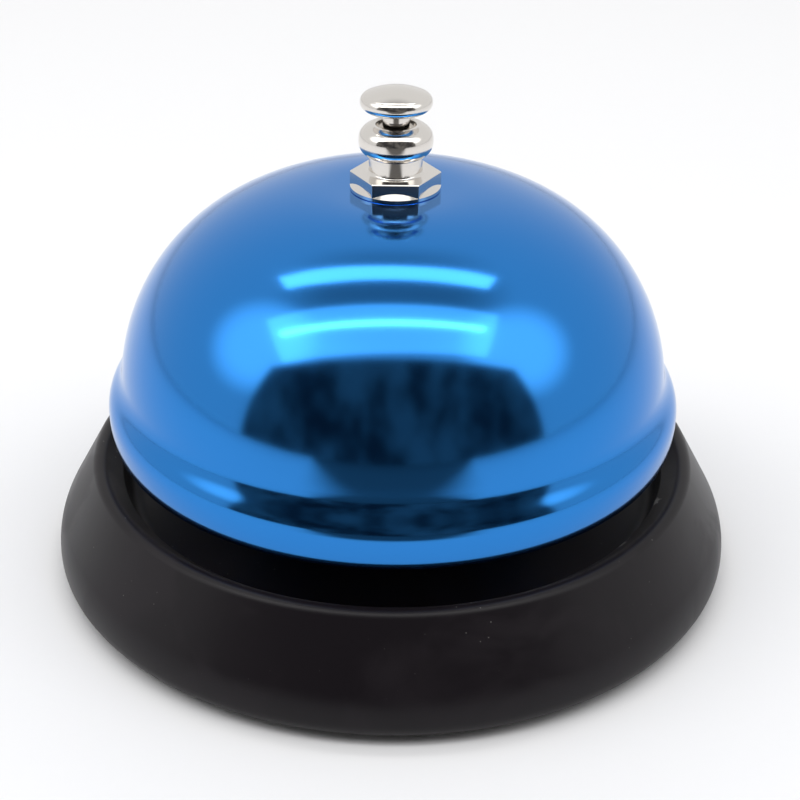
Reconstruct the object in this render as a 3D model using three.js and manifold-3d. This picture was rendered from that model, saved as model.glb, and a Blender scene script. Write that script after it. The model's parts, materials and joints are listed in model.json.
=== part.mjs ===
// A counter service bell: a struck gong on a stamped steel base, rung by a push button.
//
// Millimetres, +Z up. The origin is the middle of the underside of the foot ring, so the
// bell stands on z = 0. The button, its stem, the post, the gong and the base share the Z
// axis. The striker swings in the XZ plane and hits the gong on the +X side.
import * as THREE from 'three';
import { mergeVertices } from 'three/addons/utils/BufferGeometryUtils.js';
import Module from 'manifold-3d';

const wasm = await Module();
wasm.setup();

// ---------------------------------------------------------------- driving dimensions

// Base: one deep-drawn steel shell.
const baseRadius = 42.5; // outside of the rim, the widest part
const ridgeHeight = 14.3; // top of the crest between flare and dish
const ridgeInset = 5.9; // from the rim in to the middle of the crest
const crestRound = 1.25; // outer radius over the crest
const flareRound = 8; // radius that turns the flare into the upright rim
const flareCentreHeight = 2.9; // height at which the flare becomes upright
const rimRound = 2.2; // radius under the rim
const rimFlange = 1.7; // flat flange that turns in under the rim
const baseSheet = 1.0;
const dishFloorHeight = 8.5; // top face of the dish floor
const dishWallDraft = 0.25; // lean of the dish wall, radians from upright
const dishFillet = 2; // between the floor and the wall
const bossMargin = 0.4; // flat top of the raised middle beyond the bracket's feet
const bossRise = 2; // height of the raised middle above the floor
const bossSlope = 1.8; // width of the step round the raised middle

// Foot ring: a rubber channel pressed over the flange.
const footLip = 0.6; // thickness under the flange
const footWeb = 0.9; // thickness of the upright part of the channel
const footUpperLip = 0.8;
const footClearance = 0.05;

// Gong: a flat seat, a crown radius, a shoulder radius, a waist and a belled band.
const gongRadius = 35.15; // widest part of the band
const gongTopHeight = 48.4; // flat seat, top face
const gongLipHeight = 18.0; // lower edge
const gongSheet = 0.9;
const gongSeatRadius = 7.2; // flat part of the crown
const crownSweep = 0.5; // angle at which the crown radius meets the shoulder radius
const shoulderSweep = 1.45; // angle at which the shoulder meets the waist
const waistRise = 8.5; // waist above the lip
const waistInset = 1.9; // waist in from the widest part
const bandRise = 3.4; // widest part above the lip
const lipTuck = 0.6; // lip in from the widest part

// Finial nut: turned from hexagon bar, with a neck and a bead above the hexagon.
const hexAcrossFlats = 9.3;
const hexThickness = 2.1;
const hexChamfer = 0.7; // height of the chamfer on the lower corners
const hexTurnAllowance = 0.1; // turned radius beyond the hexagon's corners
const finialNeckRadius = 3.14;
const finialNeckLength = 2.0;
const beadRadius = 4.36;
const beadHalfHeight = 2.6;
const beadLandRadius = 2.85; // flat land on top of the bead
const beadPocketGap = 0.35; // radial, round the button's boss in the pocket of the bead
const beadPocketDepth = 0.8;
const threadClearance = 0.05; // between the post's thread and the nuts

// Button and its stem.
const capRadius = 4.21;
const capRimRound = 0.5;
const capRimTurn = 1.1; // how far the rim turns under, radians
const capDome = 1.65; // rise of the top above the middle of the rim
const capUnderside = 1.45; // drop of the underside below the middle of the rim
const capBossRadius = 2.0;
const capBossSide = 0.3; // upright side of the boss
const capSocketDepth = 2.2; // blind hole that takes the stem's spigot
const stemRadius = 1.57;
const stemSpigotStep = 0.42; // stem's radius less its spigot's
const stemClearance = 0.08; // radial, in every hole it slides through
const stemReach = 0.7; // end of the stem below the guide bush, at rest
const buttonTravel = 1.5;
const capStopGap = 0.5; // left between the button's boss and the pocket at full travel

// Post, its washer and nuts.
const studWall = 0.85; // round the stem's hole
const studEngagement = 3.9; // length of the stud above the gong's seat
const seatWasherRadius = 6.4;
const seatWasherThickness = 0.8;
const postFlangeRadius = 5.4;
const postFlangeThickness = 1.1;
const postBodyRadius = 4.2;
const postBodyLength = 8.2; // from the bracket up to the seat washer
const postWeb = 1.8; // solid end above the spring, with the stem's hole in it
const spigotWall = 0.75; // round the spring's chamber
const spigotReach = 3.0; // length of the spigot below the bracket
const postNutAcrossFlats = 10;
const postNutThickness = 2.0;
const lockWasherThickness = 0.7;
const lockWasherRadius = 5.3;
const lockWasherSplit = 1.0; // width of the cut
const bushFlangeStep = 0.2; // spigot's radius less the bush flange's
const bushFlangeThickness = 0.7;
const bushLength = 3.4; // part of the bush inside the spigot
const pressGap = 0.02; // radial gap drawn between pieces that are pressed together

// Stem collar and return spring.
const collarGap = 0.15; // radial, to the wall of the chamber
const collarThickness = 0.8;
const collarRestGap = 0.1; // below the web of the post at rest
const springWire = 0.4;
const springTurns = 5;
const springEndPitch = 0.5; // pitch of the closed turn at each end
const springStemGap = 0.43; // radial, between the stem and the wire
const springChamberGap = 0.35; // radial, between the wire and the wall of the chamber
const springEndGap = 0.1;

// Bracket: a strip bent into an arch over the raised middle of the base.
const bracketSheet = 1.2;
const bracketInnerWidth = 14; // between the legs
const bracketHalfDepth = 7; // half the top plate along X
const bracketLegHalfDepth = 5.2; // half of a leg at its narrowest
const bracketWaistShare = 0.75; // way up from the foot to the ear at which the leg is narrowest
const bracketFootLength = 8.4; // foot, outwards from the leg
const bracketBend = 1.8; // outer bend radius
const earRadius = 3.2; // round the pivot hole
const earHalfFlat = 1.5; // half of the ear's upright edge
const earLead = 2; // below the ear, where the leg starts to widen into it
const rivetRadius = 1.5;
const rivetHeadRadius = 2.7;
const rivetHeadHeight = 1.3;
const rivetTailRadius = 2.4;
const rivetTailHeight = 1.0;
const rivetInset = 4.6; // rivet out from the leg's outer face
const holeClearance = 0.05;

// Striker and its pivot.
const pivotOffset = 5.0; // pivot axis from the stem's axis: the lever arm that is pushed
const pinRadius = 1.2;
const pinHeadRadius = 2.2;
const pinHeadThickness = 0.9;
const pinGrooveRadius = 0.85;
const pinTail = 0.8; // pin beyond its groove
const clipThickness = 0.6;
const clipRadius = 2.3;
const clipMouth = 1.5; // width of the clip's opening
const strikerSheet = 1.2;
const cheekRadius = 2.6; // round the pin
const cheekSideGap = 0.4; // between a cheek and the bracket's leg
const noseOverhang = 3.4; // nose beyond the stem's axis
const noseHalfWidth = 3.0;
const dimpleRise = 0.6; // bump that the stem pushes on
const dimpleSphere = 2.0;
const stemToDimple = 0.05; // gap at rest
const webShoulder = 1.2; // length of the corner where the nose widens into the web
const armHalfWidth = 2.6;
const armBend = 2.2; // bend radius on the middle of the strip
const tabRise = 5.2; // elbow above the head's axis
const tabDrop = 3.4; // tab below the head's axis
const headRadius = 3.5;
const headLength = 5.6;
const headCrown = 0.7; // bulge of the striking face
const headSpigotRadius = 1.4;
const headPeen = 0.7; // length of the peened end behind the tab
const headPeenSpread = 0.7; // spread of the peened end beyond the spigot
const strikeAngle = 0.27; // slope of the gong's wall where it is hit, radians from upright
const strikeGap = 0.4; // left to the wall when the button is held down

// Broken edges of turned pieces.
const fineChamfer = 0.3;
const broadChamfer = 0.5;

// Facets round each size of turned piece, and steps along each kind of curve.
const largeFacets = 48;
const turnedFacets = 24;
const smallFacets = 20;
const bendSteps = 2;
const roundSteps = 3;
const curveSteps = 4;
const sweepSteps = 6;
const fullSteps = 8;
const wireFacets = 6;
const wireStepsPerTurn = 12;
const ballRows = 10;

const overcut = 1; // how far a cutting shape runs past what it cuts

// ---------------------------------------------------------------- derived sizes and places

const stemHoleRadius = stemRadius + stemClearance;
const stemSpigotRadius = stemRadius - stemSpigotStep;
const studRadius = stemHoleRadius + studWall;
const springRadius = stemRadius + springStemGap + springWire / 2; // to the middle of the wire
const springChamberRadius = springRadius + springWire / 2 + springChamberGap;
const collarRadius = springChamberRadius - collarGap;
const spigotRadius = springChamberRadius + spigotWall;
const bushFlangeRadius = spigotRadius - bushFlangeStep;
const beadPocketRadius = capBossRadius + beadPocketGap;

const gongUnderSeat = gongTopHeight - gongSheet;
const shoulderHeight = gongUnderSeat - seatWasherThickness; // post's upper face
const plateTop = shoulderHeight - postBodyLength;
const plateBottom = plateTop - bracketSheet;
const postNutTop = plateBottom - lockWasherThickness;
const spigotEnd = plateBottom - spigotReach;
const bushTop = spigotEnd + bushLength;
const bushBottom = spigotEnd - bushFlangeThickness;
const stemEnd = bushBottom - stemReach;
const chamberTop = shoulderHeight - postWeb;
const collarTop = chamberTop - collarRestGap;

const hexTop = gongTopHeight + hexThickness;
const beadCentre = hexTop + finialNeckLength
  + beadHalfHeight * Math.sqrt(1 - (finialNeckRadius / beadRadius) ** 2);
const beadLand = beadCentre + beadHalfHeight * Math.sqrt(1 - (beadLandRadius / beadRadius) ** 2);
const pocketFloor = beadLand - beadPocketDepth;
const capBossBottom = pocketFloor + buttonTravel + capStopGap;
const capRimHeight = capBossBottom + capUnderside;
const capTop = capRimHeight + capDome;

const bossTop = dishFloorHeight + bossRise;
const legOuter = bracketInnerWidth / 2 + bracketSheet;
const footEnd = legOuter + bracketFootLength;
const rivetY = legOuter + rivetInset;
const bossRadius = Math.hypot(footEnd, bracketHalfDepth) + bossMargin;

const strikerSwing = buttonTravel / pivotOffset; // radians, at full travel
const pivotX = pivotOffset;
const dimpleTop = stemEnd - stemToDimple;
const stripTop = dimpleTop - dimpleRise;
const pivotZ = stripTop - cheekRadius;
const grooveStart = legOuter + holeClearance; // inner end of the pin's groove

// ---------------------------------------------------------------- shape helpers

const point = (x, y) => new THREE.Vector2(x, y);

/** Points on an arc about (cx, cy), from one angle to another, ends included. */
function arc(cx, cy, radius, from, to, steps) {
  const points = [];
  for (let i = 0; i <= steps; i += 1) {
    const angle = from + ((to - from) * i) / steps;
    points.push(point(cx + radius * Math.cos(angle), cy + radius * Math.sin(angle)));
  }
  return points;
}

/** A path through corners [x, y, fillet radius], with each fillet drawn as an arc. */
function filletPath(corners, steps) {
  const path = [];
  corners.forEach(([x, y, radius = 0], i) => {
    const corner = point(x, y);
    if (!radius || i === 0 || i === corners.length - 1) {
      path.push(corner);
      return;
    }
    const back = point(...corners[i - 1]).sub(corner).normalize();
    const ahead = point(...corners[i + 1]).sub(corner).normalize();
    const half = Math.acos(back.dot(ahead)) / 2;
    const bisector = back.clone().add(ahead).normalize();
    const centre = corner.clone().addScaledVector(bisector, radius / Math.sin(half));
    const start = corner.clone().addScaledVector(back, radius / Math.tan(half)).sub(centre);
    const end = corner.clone().addScaledVector(ahead, radius / Math.tan(half)).sub(centre);
    const turn = Math.atan2(start.cross(end), start.dot(end));
    const first = start.angle();
    path.push(...arc(centre.x, centre.y, radius, first, first + turn, steps));
  });
  return path;
}

/** The same path moved sideways, to its left for a positive distance. */
function offsetPath(path, distance) {
  return path.map((here, i) => {
    const before = path[Math.max(i - 1, 0)];
    const after = path[Math.min(i + 1, path.length - 1)];
    const into = here.clone().sub(i ? before : here).normalize();
    const out = after.clone().sub(i < path.length - 1 ? here : before).normalize();
    const along = (i ? into : out).clone().add(out).normalize();
    const left = point(-along.y, along.x);
    const mitre = point(-out.y, out.x).dot(left);
    return here.clone().addScaledVector(left, distance / mitre);
  });
}

/** The outline of a strip of sheet that follows a path, half its thickness on each side. */
function ribbon(path, thickness) {
  return [...offsetPath(path, thickness / 2), ...offsetPath(path, -thickness / 2).reverse()];
}

/** A geometry's triangles as a solid that can be joined and cut. */
function toSolid(geometry) {
  geometry.deleteAttribute('normal');
  geometry.deleteAttribute('uv');
  const merged = mergeVertices(geometry, 1e-5);
  const index = merged.getIndex().array;
  const faces = [];
  for (let i = 0; i < index.length; i += 3) {
    const [a, b, c] = [index[i], index[i + 1], index[i + 2]];
    if (a !== b && b !== c && c !== a) faces.push(a, b, c);
  }
  return new wasm.Manifold(new wasm.Mesh({
    numProp: 3,
    vertProperties: new Float32Array(merged.getAttribute('position').array),
    triVerts: new Uint32Array(faces),
  }));
}

/** A solid's triangles as a geometry. */
function toGeometry(solid) {
  const mesh = solid.getMesh();
  const geometry = new THREE.BufferGeometry();
  geometry.setAttribute('position', new THREE.BufferAttribute(new Float32Array(mesh.vertProperties), 3));
  geometry.setIndex(new THREE.BufferAttribute(new Uint32Array(mesh.triVerts), 1));
  geometry.computeVertexNormals();
  return geometry;
}

/** Revolves a closed section, or one that starts and ends on the axis, about Z. */
function revolve(section, facets) {
  const area = section.reduce((sum, a, i) => {
    const b = section[(i + 1) % section.length];
    return sum + a.x * b.y - b.x * a.y;
  }, 0);
  const points = area > 0 ? [...section] : [...section].reverse();
  const onAxis = points[0].x === 0 && points[points.length - 1].x === 0;
  if (!onAxis) points.push(points[0].clone());
  return toSolid(new THREE.LatheGeometry(points, facets).rotateX(Math.PI / 2));
}

/** A ring or disc with a rectangular section. */
function ring(inner, outer, bottom, top, facets) {
  const section = inner > 0
    ? [point(inner, bottom), point(outer, bottom), point(outer, top), point(inner, top)]
    : [point(0, bottom), point(outer, bottom), point(outer, top), point(0, top)];
  return revolve(section, facets);
}

/** Extrudes an outline drawn in XY along +Z. */
function extrude(outline, depth) {
  return new THREE.ExtrudeGeometry(new THREE.Shape(outline), { depth, bevelEnabled: false, steps: 1 });
}

/** Extrudes an outline drawn in XZ from y = from to y = to. */
function extrudeAlongY(outline, from, to) {
  return toSolid(extrude(outline, to - from).rotateX(Math.PI / 2).translate(0, to, 0));
}

/** Extrudes an outline drawn in YZ from x = from to x = to. */
function extrudeAlongX(outline, from, to) {
  const turn = new THREE.Matrix4().makeBasis(
    new THREE.Vector3(0, 1, 0),
    new THREE.Vector3(0, 0, 1),
    new THREE.Vector3(1, 0, 0),
  );
  return toSolid(extrude(outline, to - from).applyMatrix4(turn).translate(from, 0, 0));
}

/** A round bar along Y. */
function barAlongY(radius, x, z, from, to, facets) {
  const bar = new THREE.CylinderGeometry(radius, radius, to - from, facets);
  return toSolid(bar.translate(x, (from + to) / 2, z));
}

/** A hexagonal prism along Z, with two flats facing -Y and +Y. */
function hexPrism(acrossFlats, bottom, top) {
  const corner = acrossFlats / Math.sqrt(3);
  const outline = Array.from({ length: 6 }, (_, i) => (
    point(corner * Math.cos((i * Math.PI) / 3), corner * Math.sin((i * Math.PI) / 3))
  ));
  return toSolid(extrude(outline, top - bottom).translate(0, 0, bottom));
}

// ---------------------------------------------------------------- base and foot

/** Visible face of the base, from the middle outwards, over the crest and under the rim. */
function baseOutline() {
  const crest = point(baseRadius - ridgeInset, ridgeHeight - crestRound);
  const flare = point(baseRadius - flareRound, flareCentreHeight);
  const between = crest.clone().sub(flare);
  const lean = Math.asin((flareRound - crestRound) / between.length())
    - Math.atan2(between.x, between.y);
  const wallTop = point(
    crest.x - crestRound * Math.cos(dishWallDraft),
    crest.y + crestRound * Math.sin(dishWallDraft),
  );
  const wallFoot = wallTop.x - (wallTop.y - dishFloorHeight) * Math.tan(dishWallDraft);
  const dish = filletPath([
    [0, bossTop],
    [bossRadius, bossTop],
    [bossRadius + bossSlope, dishFloorHeight],
    [wallFoot, dishFloorHeight, dishFillet],
    [wallTop.x, wallTop.y],
  ], bendSteps);
  const overCrest = Math.PI - dishWallDraft;
  const crestArc = arc(crest.x, crest.y, crestRound, overCrest, lean, curveSteps).slice(1);
  const flareArc = arc(flare.x, flare.y, flareRound, lean, 0, roundSteps);
  const rimCentre = point(baseRadius - rimRound, footLip + rimRound);
  const rimArc = arc(rimCentre.x, rimCentre.y, rimRound, 0, -Math.PI / 2, roundSteps);
  const flangeEnd = point(baseRadius - rimRound - rimFlange, footLip);
  return [...dish, ...crestArc, ...flareArc, ...rimArc, flangeEnd];
}

function baseShell() {
  const face = baseOutline();
  const underside = offsetPath(face, -baseSheet).reverse();
  underside[underside.length - 1].x = 0;
  let shell = revolve([...face, ...underside], largeFacets);
  for (const side of [-1, 1]) {
    const hole = ring(0, rivetRadius + holeClearance, 0, bossTop + overcut, smallFacets);
    shell = shell.subtract(hole.translate([0, side * rivetY, 0]));
  }
  return shell;
}

function footRing() {
  const flangeInner = baseRadius - rimRound - rimFlange;
  const webOuter = flangeInner - footClearance;
  const inner = webOuter - footWeb;
  const lipOuter = baseRadius - rimRound;
  const flangeTop = footLip + baseSheet + footClearance;
  return revolve([
    point(inner, 0),
    point(lipOuter, 0),
    point(lipOuter, footLip),
    point(webOuter, footLip),
    point(webOuter, flangeTop),
    point(flangeInner + rimFlange / 2, flangeTop),
    point(flangeInner + rimFlange / 2, flangeTop + footUpperLip / 2),
    point(webOuter, flangeTop + footUpperLip),
    point(inner, flangeTop + footUpperLip),
  ], largeFacets);
}

// ---------------------------------------------------------------- gong

/** Crown and shoulder radii that run from the flat seat to the waist, tangent to each other. */
function gongArcs() {
  const across = gongRadius - waistInset - gongSeatRadius;
  const down = gongTopHeight - gongLipHeight - waistRise;
  const [s1, s2] = [Math.sin(crownSweep), Math.sin(shoulderSweep) - Math.sin(crownSweep)];
  const [c1, c2] = [1 - Math.cos(crownSweep), Math.cos(crownSweep) - Math.cos(shoulderSweep)];
  const determinant = s1 * c2 - s2 * c1;
  const crown = (across * c2 - s2 * down) / determinant;
  const shoulder = (s1 * down - c1 * across) / determinant;
  const centre = point(
    gongSeatRadius + (crown - shoulder) * s1,
    gongTopHeight - crown + (crown - shoulder) * Math.cos(crownSweep),
  );
  return { crown, shoulder, centre };
}

/** Outside of the gong, from its hole to its lip. */
function gongOutline() {
  const { crown, shoulder, centre } = gongArcs();
  const top = Math.PI / 2;
  const join = top - crownSweep;
  const crownArc = arc(gongSeatRadius, gongTopHeight - crown, crown, top, join, roundSteps);
  const shoulderArc = arc(centre.x, centre.y, shoulder, join, top - shoulderSweep, sweepSteps);
  const waist = shoulderArc[shoulderArc.length - 1];
  const widest = point(gongRadius, gongLipHeight + bandRise);
  const lip = point(gongRadius - lipTuck, gongLipHeight);
  const reach = (waist.y - widest.y) / 2;
  const lean = point(Math.cos(shoulderSweep), -Math.sin(shoulderSweep));
  const flare = new THREE.CubicBezierCurve(
    waist,
    waist.clone().addScaledVector(lean, reach),
    point(widest.x, widest.y + reach),
    widest,
  ).getPoints(curveSteps).slice(1);
  const tuck = new THREE.QuadraticBezierCurve(
    widest,
    point(widest.x, gongLipHeight + bandRise / 3),
    lip,
  ).getPoints(roundSteps).slice(1);
  return [point(studRadius + threadClearance, gongTopHeight), ...crownArc, ...shoulderArc.slice(1),
    ...flare, ...tuck];
}

function bellDome() {
  const outside = gongOutline();
  const inside = offsetPath(outside, -gongSheet).reverse();
  return revolve([...outside, ...inside], largeFacets);
}

// ---------------------------------------------------------------- finial, button and stem

function finialNut() {
  const corner = hexAcrossFlats / Math.sqrt(3);
  const thread = studRadius + threadClearance;
  const threadTop = gongTopHeight + studEngagement + threadClearance;
  const below = gongTopHeight - overcut;
  const turnedCorner = corner + hexTurnAllowance;
  const hexagon = revolve([
    point(0, gongTopHeight),
    point(corner - hexChamfer, gongTopHeight),
    point(turnedCorner, gongTopHeight + hexChamfer),
    point(turnedCorner, hexTop),
    point(0, hexTop),
  ], turnedFacets).intersect(hexPrism(hexAcrossFlats, below, hexTop + overcut));
  const atNeck = -Math.acos(finialNeckRadius / beadRadius);
  const atLand = Math.acos(beadLandRadius / beadRadius);
  const bead = arc(0, 0, 1, atNeck, atLand, fullSteps)
    .map((unit) => point(unit.x * beadRadius, beadCentre + unit.y * beadHalfHeight));
  const turned = revolve([
    point(0, hexTop - hexThickness / 2),
    point(finialNeckRadius, hexTop - hexThickness / 2),
    ...bead,
    point(0, beadLand),
  ], turnedFacets);
  const bore = revolve([
    point(0, below),
    point(thread, below),
    point(thread, threadTop),
    point(stemHoleRadius, threadTop),
    point(stemHoleRadius, pocketFloor),
    point(beadPocketRadius, pocketFloor),
    point(beadPocketRadius, beadLand + overcut),
    point(0, beadLand + overcut),
  ], turnedFacets);
  return hexagon.add(turned).subtract(bore);
}

function pushButton() {
  const rimCentre = capRadius - capRimRound;
  const domeTop = capDome - capRimRound;
  const sphere = (rimCentre ** 2 + domeTop ** 2) / (2 * domeTop);
  const edge = Math.asin(rimCentre / sphere);
  const upright = Math.PI / 2;
  const top = arc(0, capTop - sphere, sphere, upright - edge, upright, curveSteps);
  top[top.length - 1].x = 0;
  const rim = arc(rimCentre, capRimHeight, capRimRound, -capRimTurn, upright - edge, curveSteps);
  const socket = stemSpigotRadius + pressGap;
  return revolve([
    point(0, capBossBottom + capSocketDepth),
    point(socket, capBossBottom + capSocketDepth),
    point(socket, capBossBottom),
    point(capBossRadius, capBossBottom),
    point(capBossRadius, capBossBottom + capBossSide),
    ...rim,
    ...top.slice(1),
  ], turnedFacets);
}

function plungerRod() {
  const spigotTop = capBossBottom + capSocketDepth - pressGap;
  return revolve([
    point(0, stemEnd),
    point(stemRadius - fineChamfer, stemEnd),
    point(stemRadius, stemEnd + fineChamfer),
    point(stemRadius, capBossBottom - pressGap),
    point(stemSpigotRadius, capBossBottom - pressGap),
    point(stemSpigotRadius, spigotTop),
    point(0, spigotTop),
  ], smallFacets);
}

function plungerCollar() {
  const bottom = collarTop - collarThickness;
  return ring(stemRadius + pressGap, collarRadius, bottom, collarTop, smallFacets);
}

/** A compression spring with its end turns closed up. */
function returnSpring() {
  const bottom = bushTop + springEndGap + springWire / 2;
  const top = collarTop - collarThickness - springEndGap - springWire / 2;
  class Helix extends THREE.Curve {
    getPoint(t, target = new THREE.Vector3()) {
      const turn = t * springTurns;
      const open = (top - bottom - 2 * springEndPitch) / (springTurns - 2);
      const middle = Math.min(Math.max(turn - 1, 0), springTurns - 2);
      const ends = Math.min(turn, 1) + Math.max(turn - springTurns + 1, 0);
      const angle = 2 * Math.PI * turn;
      return target.set(
        springRadius * Math.cos(angle),
        springRadius * Math.sin(angle),
        bottom + springEndPitch * ends + open * middle,
      );
    }
  }
  const wire = arc(0, 0, springWire / 2, 0, 2 * Math.PI, wireFacets).slice(1);
  return toSolid(new THREE.ExtrudeGeometry(new THREE.Shape(wire), {
    steps: springTurns * wireStepsPerTurn,
    extrudePath: new Helix(),
    bevelEnabled: false,
  }));
}

// ---------------------------------------------------------------- post and its fixings

function centerPost() {
  const studTop = gongTopHeight + studEngagement;
  return revolve([
    point(stemHoleRadius, studTop),
    point(stemHoleRadius, chamberTop),
    point(springChamberRadius, chamberTop),
    point(springChamberRadius, spigotEnd),
    point(spigotRadius, spigotEnd),
    point(spigotRadius, plateTop),
    point(postFlangeRadius, plateTop),
    point(postFlangeRadius, plateTop + postFlangeThickness),
    point(postBodyRadius, plateTop + postFlangeThickness),
    point(postBodyRadius, shoulderHeight - postFlangeThickness),
    point(postFlangeRadius, shoulderHeight - postFlangeThickness),
    point(postFlangeRadius, shoulderHeight),
    point(studRadius, shoulderHeight),
    point(studRadius, studTop - broadChamfer),
    point(studRadius - broadChamfer, studTop),
  ], turnedFacets);
}

function guideBush() {
  return revolve([
    point(stemHoleRadius, bushBottom),
    point(bushFlangeRadius, bushBottom),
    point(bushFlangeRadius, spigotEnd),
    point(springChamberRadius - pressGap, spigotEnd),
    point(springChamberRadius - pressGap, bushTop),
    point(stemHoleRadius, bushTop),
  ], turnedFacets);
}

/** A split spring washer: a ring with one cut. */
function postLockWasher() {
  const hole = spigotRadius + threadClearance;
  const washer = ring(hole, lockWasherRadius, postNutTop, plateBottom, turnedFacets);
  const outer = -lockWasherRadius - overcut;
  const inner = -spigotRadius + overcut;
  const cut = [
    point(outer, -lockWasherSplit / 2),
    point(inner, -lockWasherSplit / 2),
    point(inner, lockWasherSplit / 2),
    point(outer, lockWasherSplit / 2),
  ];
  const slot = toSolid(extrude(cut, lockWasherThickness + 2 * overcut));
  return washer.subtract(slot.translate([0, 0, postNutTop - overcut]));
}

function postNut() {
  const corner = postNutAcrossFlats / Math.sqrt(3);
  const bottom = postNutTop - postNutThickness;
  const thread = spigotRadius + threadClearance;
  const turned = revolve([
    point(thread, bottom),
    point(corner - broadChamfer, bottom),
    point(corner, bottom + broadChamfer),
    point(corner, postNutTop - broadChamfer),
    point(corner - broadChamfer, postNutTop),
    point(thread, postNutTop),
  ], turnedFacets);
  return turned.intersect(hexPrism(postNutAcrossFlats, bottom - overcut, postNutTop + overcut));
}

function seatWasher() {
  const hole = studRadius + threadClearance;
  return ring(hole, seatWasherRadius, shoulderHeight, gongUnderSeat, turnedFacets);
}

// ---------------------------------------------------------------- bracket

/** Front view of the bent strip, through the middle of its thickness. */
function bracketStrip() {
  const footHeight = bossTop + bracketSheet / 2;
  const leg = bracketInnerWidth / 2 + bracketSheet / 2;
  const plate = (plateTop + plateBottom) / 2;
  const bend = bracketBend - bracketSheet / 2;
  return filletPath([
    [-footEnd, footHeight],
    [-leg, footHeight, bend],
    [-leg, plate, bend],
    [leg, plate, bend],
    [leg, footHeight, bend],
    [footEnd, footHeight],
  ], bendSteps);
}

/** Side view of a leg: a wide foot, a waist, and an ear for the pivot. */
function bracketSide() {
  const top = plateTop + overcut;
  const bottom = bossTop - overcut;
  const footTop = bossTop + bracketSheet + bracketBend;
  const earFoot = pivotZ - earRadius - earLead;
  const waist = footTop + (earFoot - footTop) * bracketWaistShare;
  const bow = (footTop + waist) / 2;
  const side = new THREE.Shape();
  side.moveTo(-bracketHalfDepth, bottom);
  side.lineTo(bracketHalfDepth, bottom);
  side.lineTo(bracketHalfDepth, footTop);
  side.quadraticCurveTo(bracketLegHalfDepth, bow, bracketLegHalfDepth, waist);
  side.lineTo(bracketLegHalfDepth, earFoot);
  side.lineTo(pivotX + earRadius, pivotZ - earHalfFlat);
  side.lineTo(pivotX + earRadius, pivotZ + earHalfFlat);
  side.lineTo(bracketHalfDepth, pivotZ + earRadius);
  side.lineTo(bracketHalfDepth, top);
  side.lineTo(-bracketHalfDepth, top);
  side.lineTo(-bracketHalfDepth, pivotZ);
  side.lineTo(-bracketLegHalfDepth, earFoot);
  side.lineTo(-bracketLegHalfDepth, waist);
  side.quadraticCurveTo(-bracketLegHalfDepth, bow, -bracketHalfDepth, footTop);
  return side.getPoints(roundSteps);
}

function mechanismBracket() {
  const across = footEnd + overcut;
  const along = Math.max(bracketHalfDepth, pivotX + earRadius) + overcut;
  const strip = extrudeAlongX(ribbon(bracketStrip(), bracketSheet), -along, along);
  const side = extrudeAlongY(bracketSide(), -across, across);
  const pin = barAlongY(pinRadius + holeClearance, pivotX, pivotZ, -across, across, smallFacets);
  const [plateUnder, plateOver] = [plateBottom - overcut, plateTop + overcut];
  const post = ring(0, spigotRadius + holeClearance, plateUnder, plateOver, turnedFacets);
  let bracket = strip.intersect(side).subtract(pin).subtract(post);
  const [footUnder, footOver] = [bossTop - overcut, bossTop + bracketSheet + overcut];
  for (const end of [-1, 1]) {
    const rivet = ring(0, rivetRadius + holeClearance, footUnder, footOver, smallFacets);
    bracket = bracket.subtract(rivet.translate([0, end * rivetY, 0]));
  }
  return bracket;
}

/** A rivet with a domed head on the bracket's foot and a formed tail under the base. */
function bracketRivet(side) {
  const footTop = bossTop + bracketSheet;
  const underside = bossTop - baseSheet;
  const headSphere = (rivetHeadRadius ** 2 + rivetHeadHeight ** 2) / (2 * rivetHeadHeight);
  const headEdge = Math.asin(rivetHeadRadius / headSphere);
  const head = arc(0, footTop + rivetHeadHeight - headSphere, headSphere,
    Math.PI / 2 - headEdge, Math.PI / 2, roundSteps);
  head[head.length - 1].x = 0;
  const rivet = revolve([
    point(0, underside - rivetTailHeight),
    point(rivetTailRadius - broadChamfer, underside - rivetTailHeight),
    point(rivetTailRadius, underside - rivetTailHeight + broadChamfer),
    point(rivetTailRadius, underside),
    point(rivetRadius, underside),
    point(rivetRadius, footTop),
    ...head,
  ], smallFacets);
  return rivet.translate([0, side * rivetY, 0]);
}

// ---------------------------------------------------------------- striker

/** Where the striking face is at rest, and which way it points. */
function strikerFace() {
  const { shoulder, centre } = gongArcs();
  const reach = shoulder - gongSheet - strikeGap;
  const pressed = point(
    centre.x + reach * Math.cos(strikeAngle) - pivotX,
    centre.y + reach * Math.sin(strikeAngle) - pivotZ,
  );
  const tip = pressed.rotateAround(point(0, 0), -strikerSwing).add(point(pivotX, pivotZ));
  return { tip, lean: strikeAngle - strikerSwing };
}

/** Side view of the strip, from the nose under the stem to the tab behind the head. */
function strikerStrip() {
  const { tip, lean } = strikerFace();
  const axis = point(Math.cos(lean), Math.sin(lean));
  const up = point(-axis.y, axis.x);
  const tab = tip.clone().addScaledVector(axis, -headLength - strikerSheet / 2);
  const elbow = tab.clone().addScaledVector(up, tabRise);
  const tabEnd = tab.clone().addScaledVector(up, -tabDrop);
  const middle = stripTop - strikerSheet / 2;
  return filletPath([
    [-noseOverhang, middle],
    [pivotX + cheekRadius, middle, armBend],
    [elbow.x, elbow.y, armBend],
    [tabEnd.x, tabEnd.y],
  ], roundSteps);
}

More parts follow.
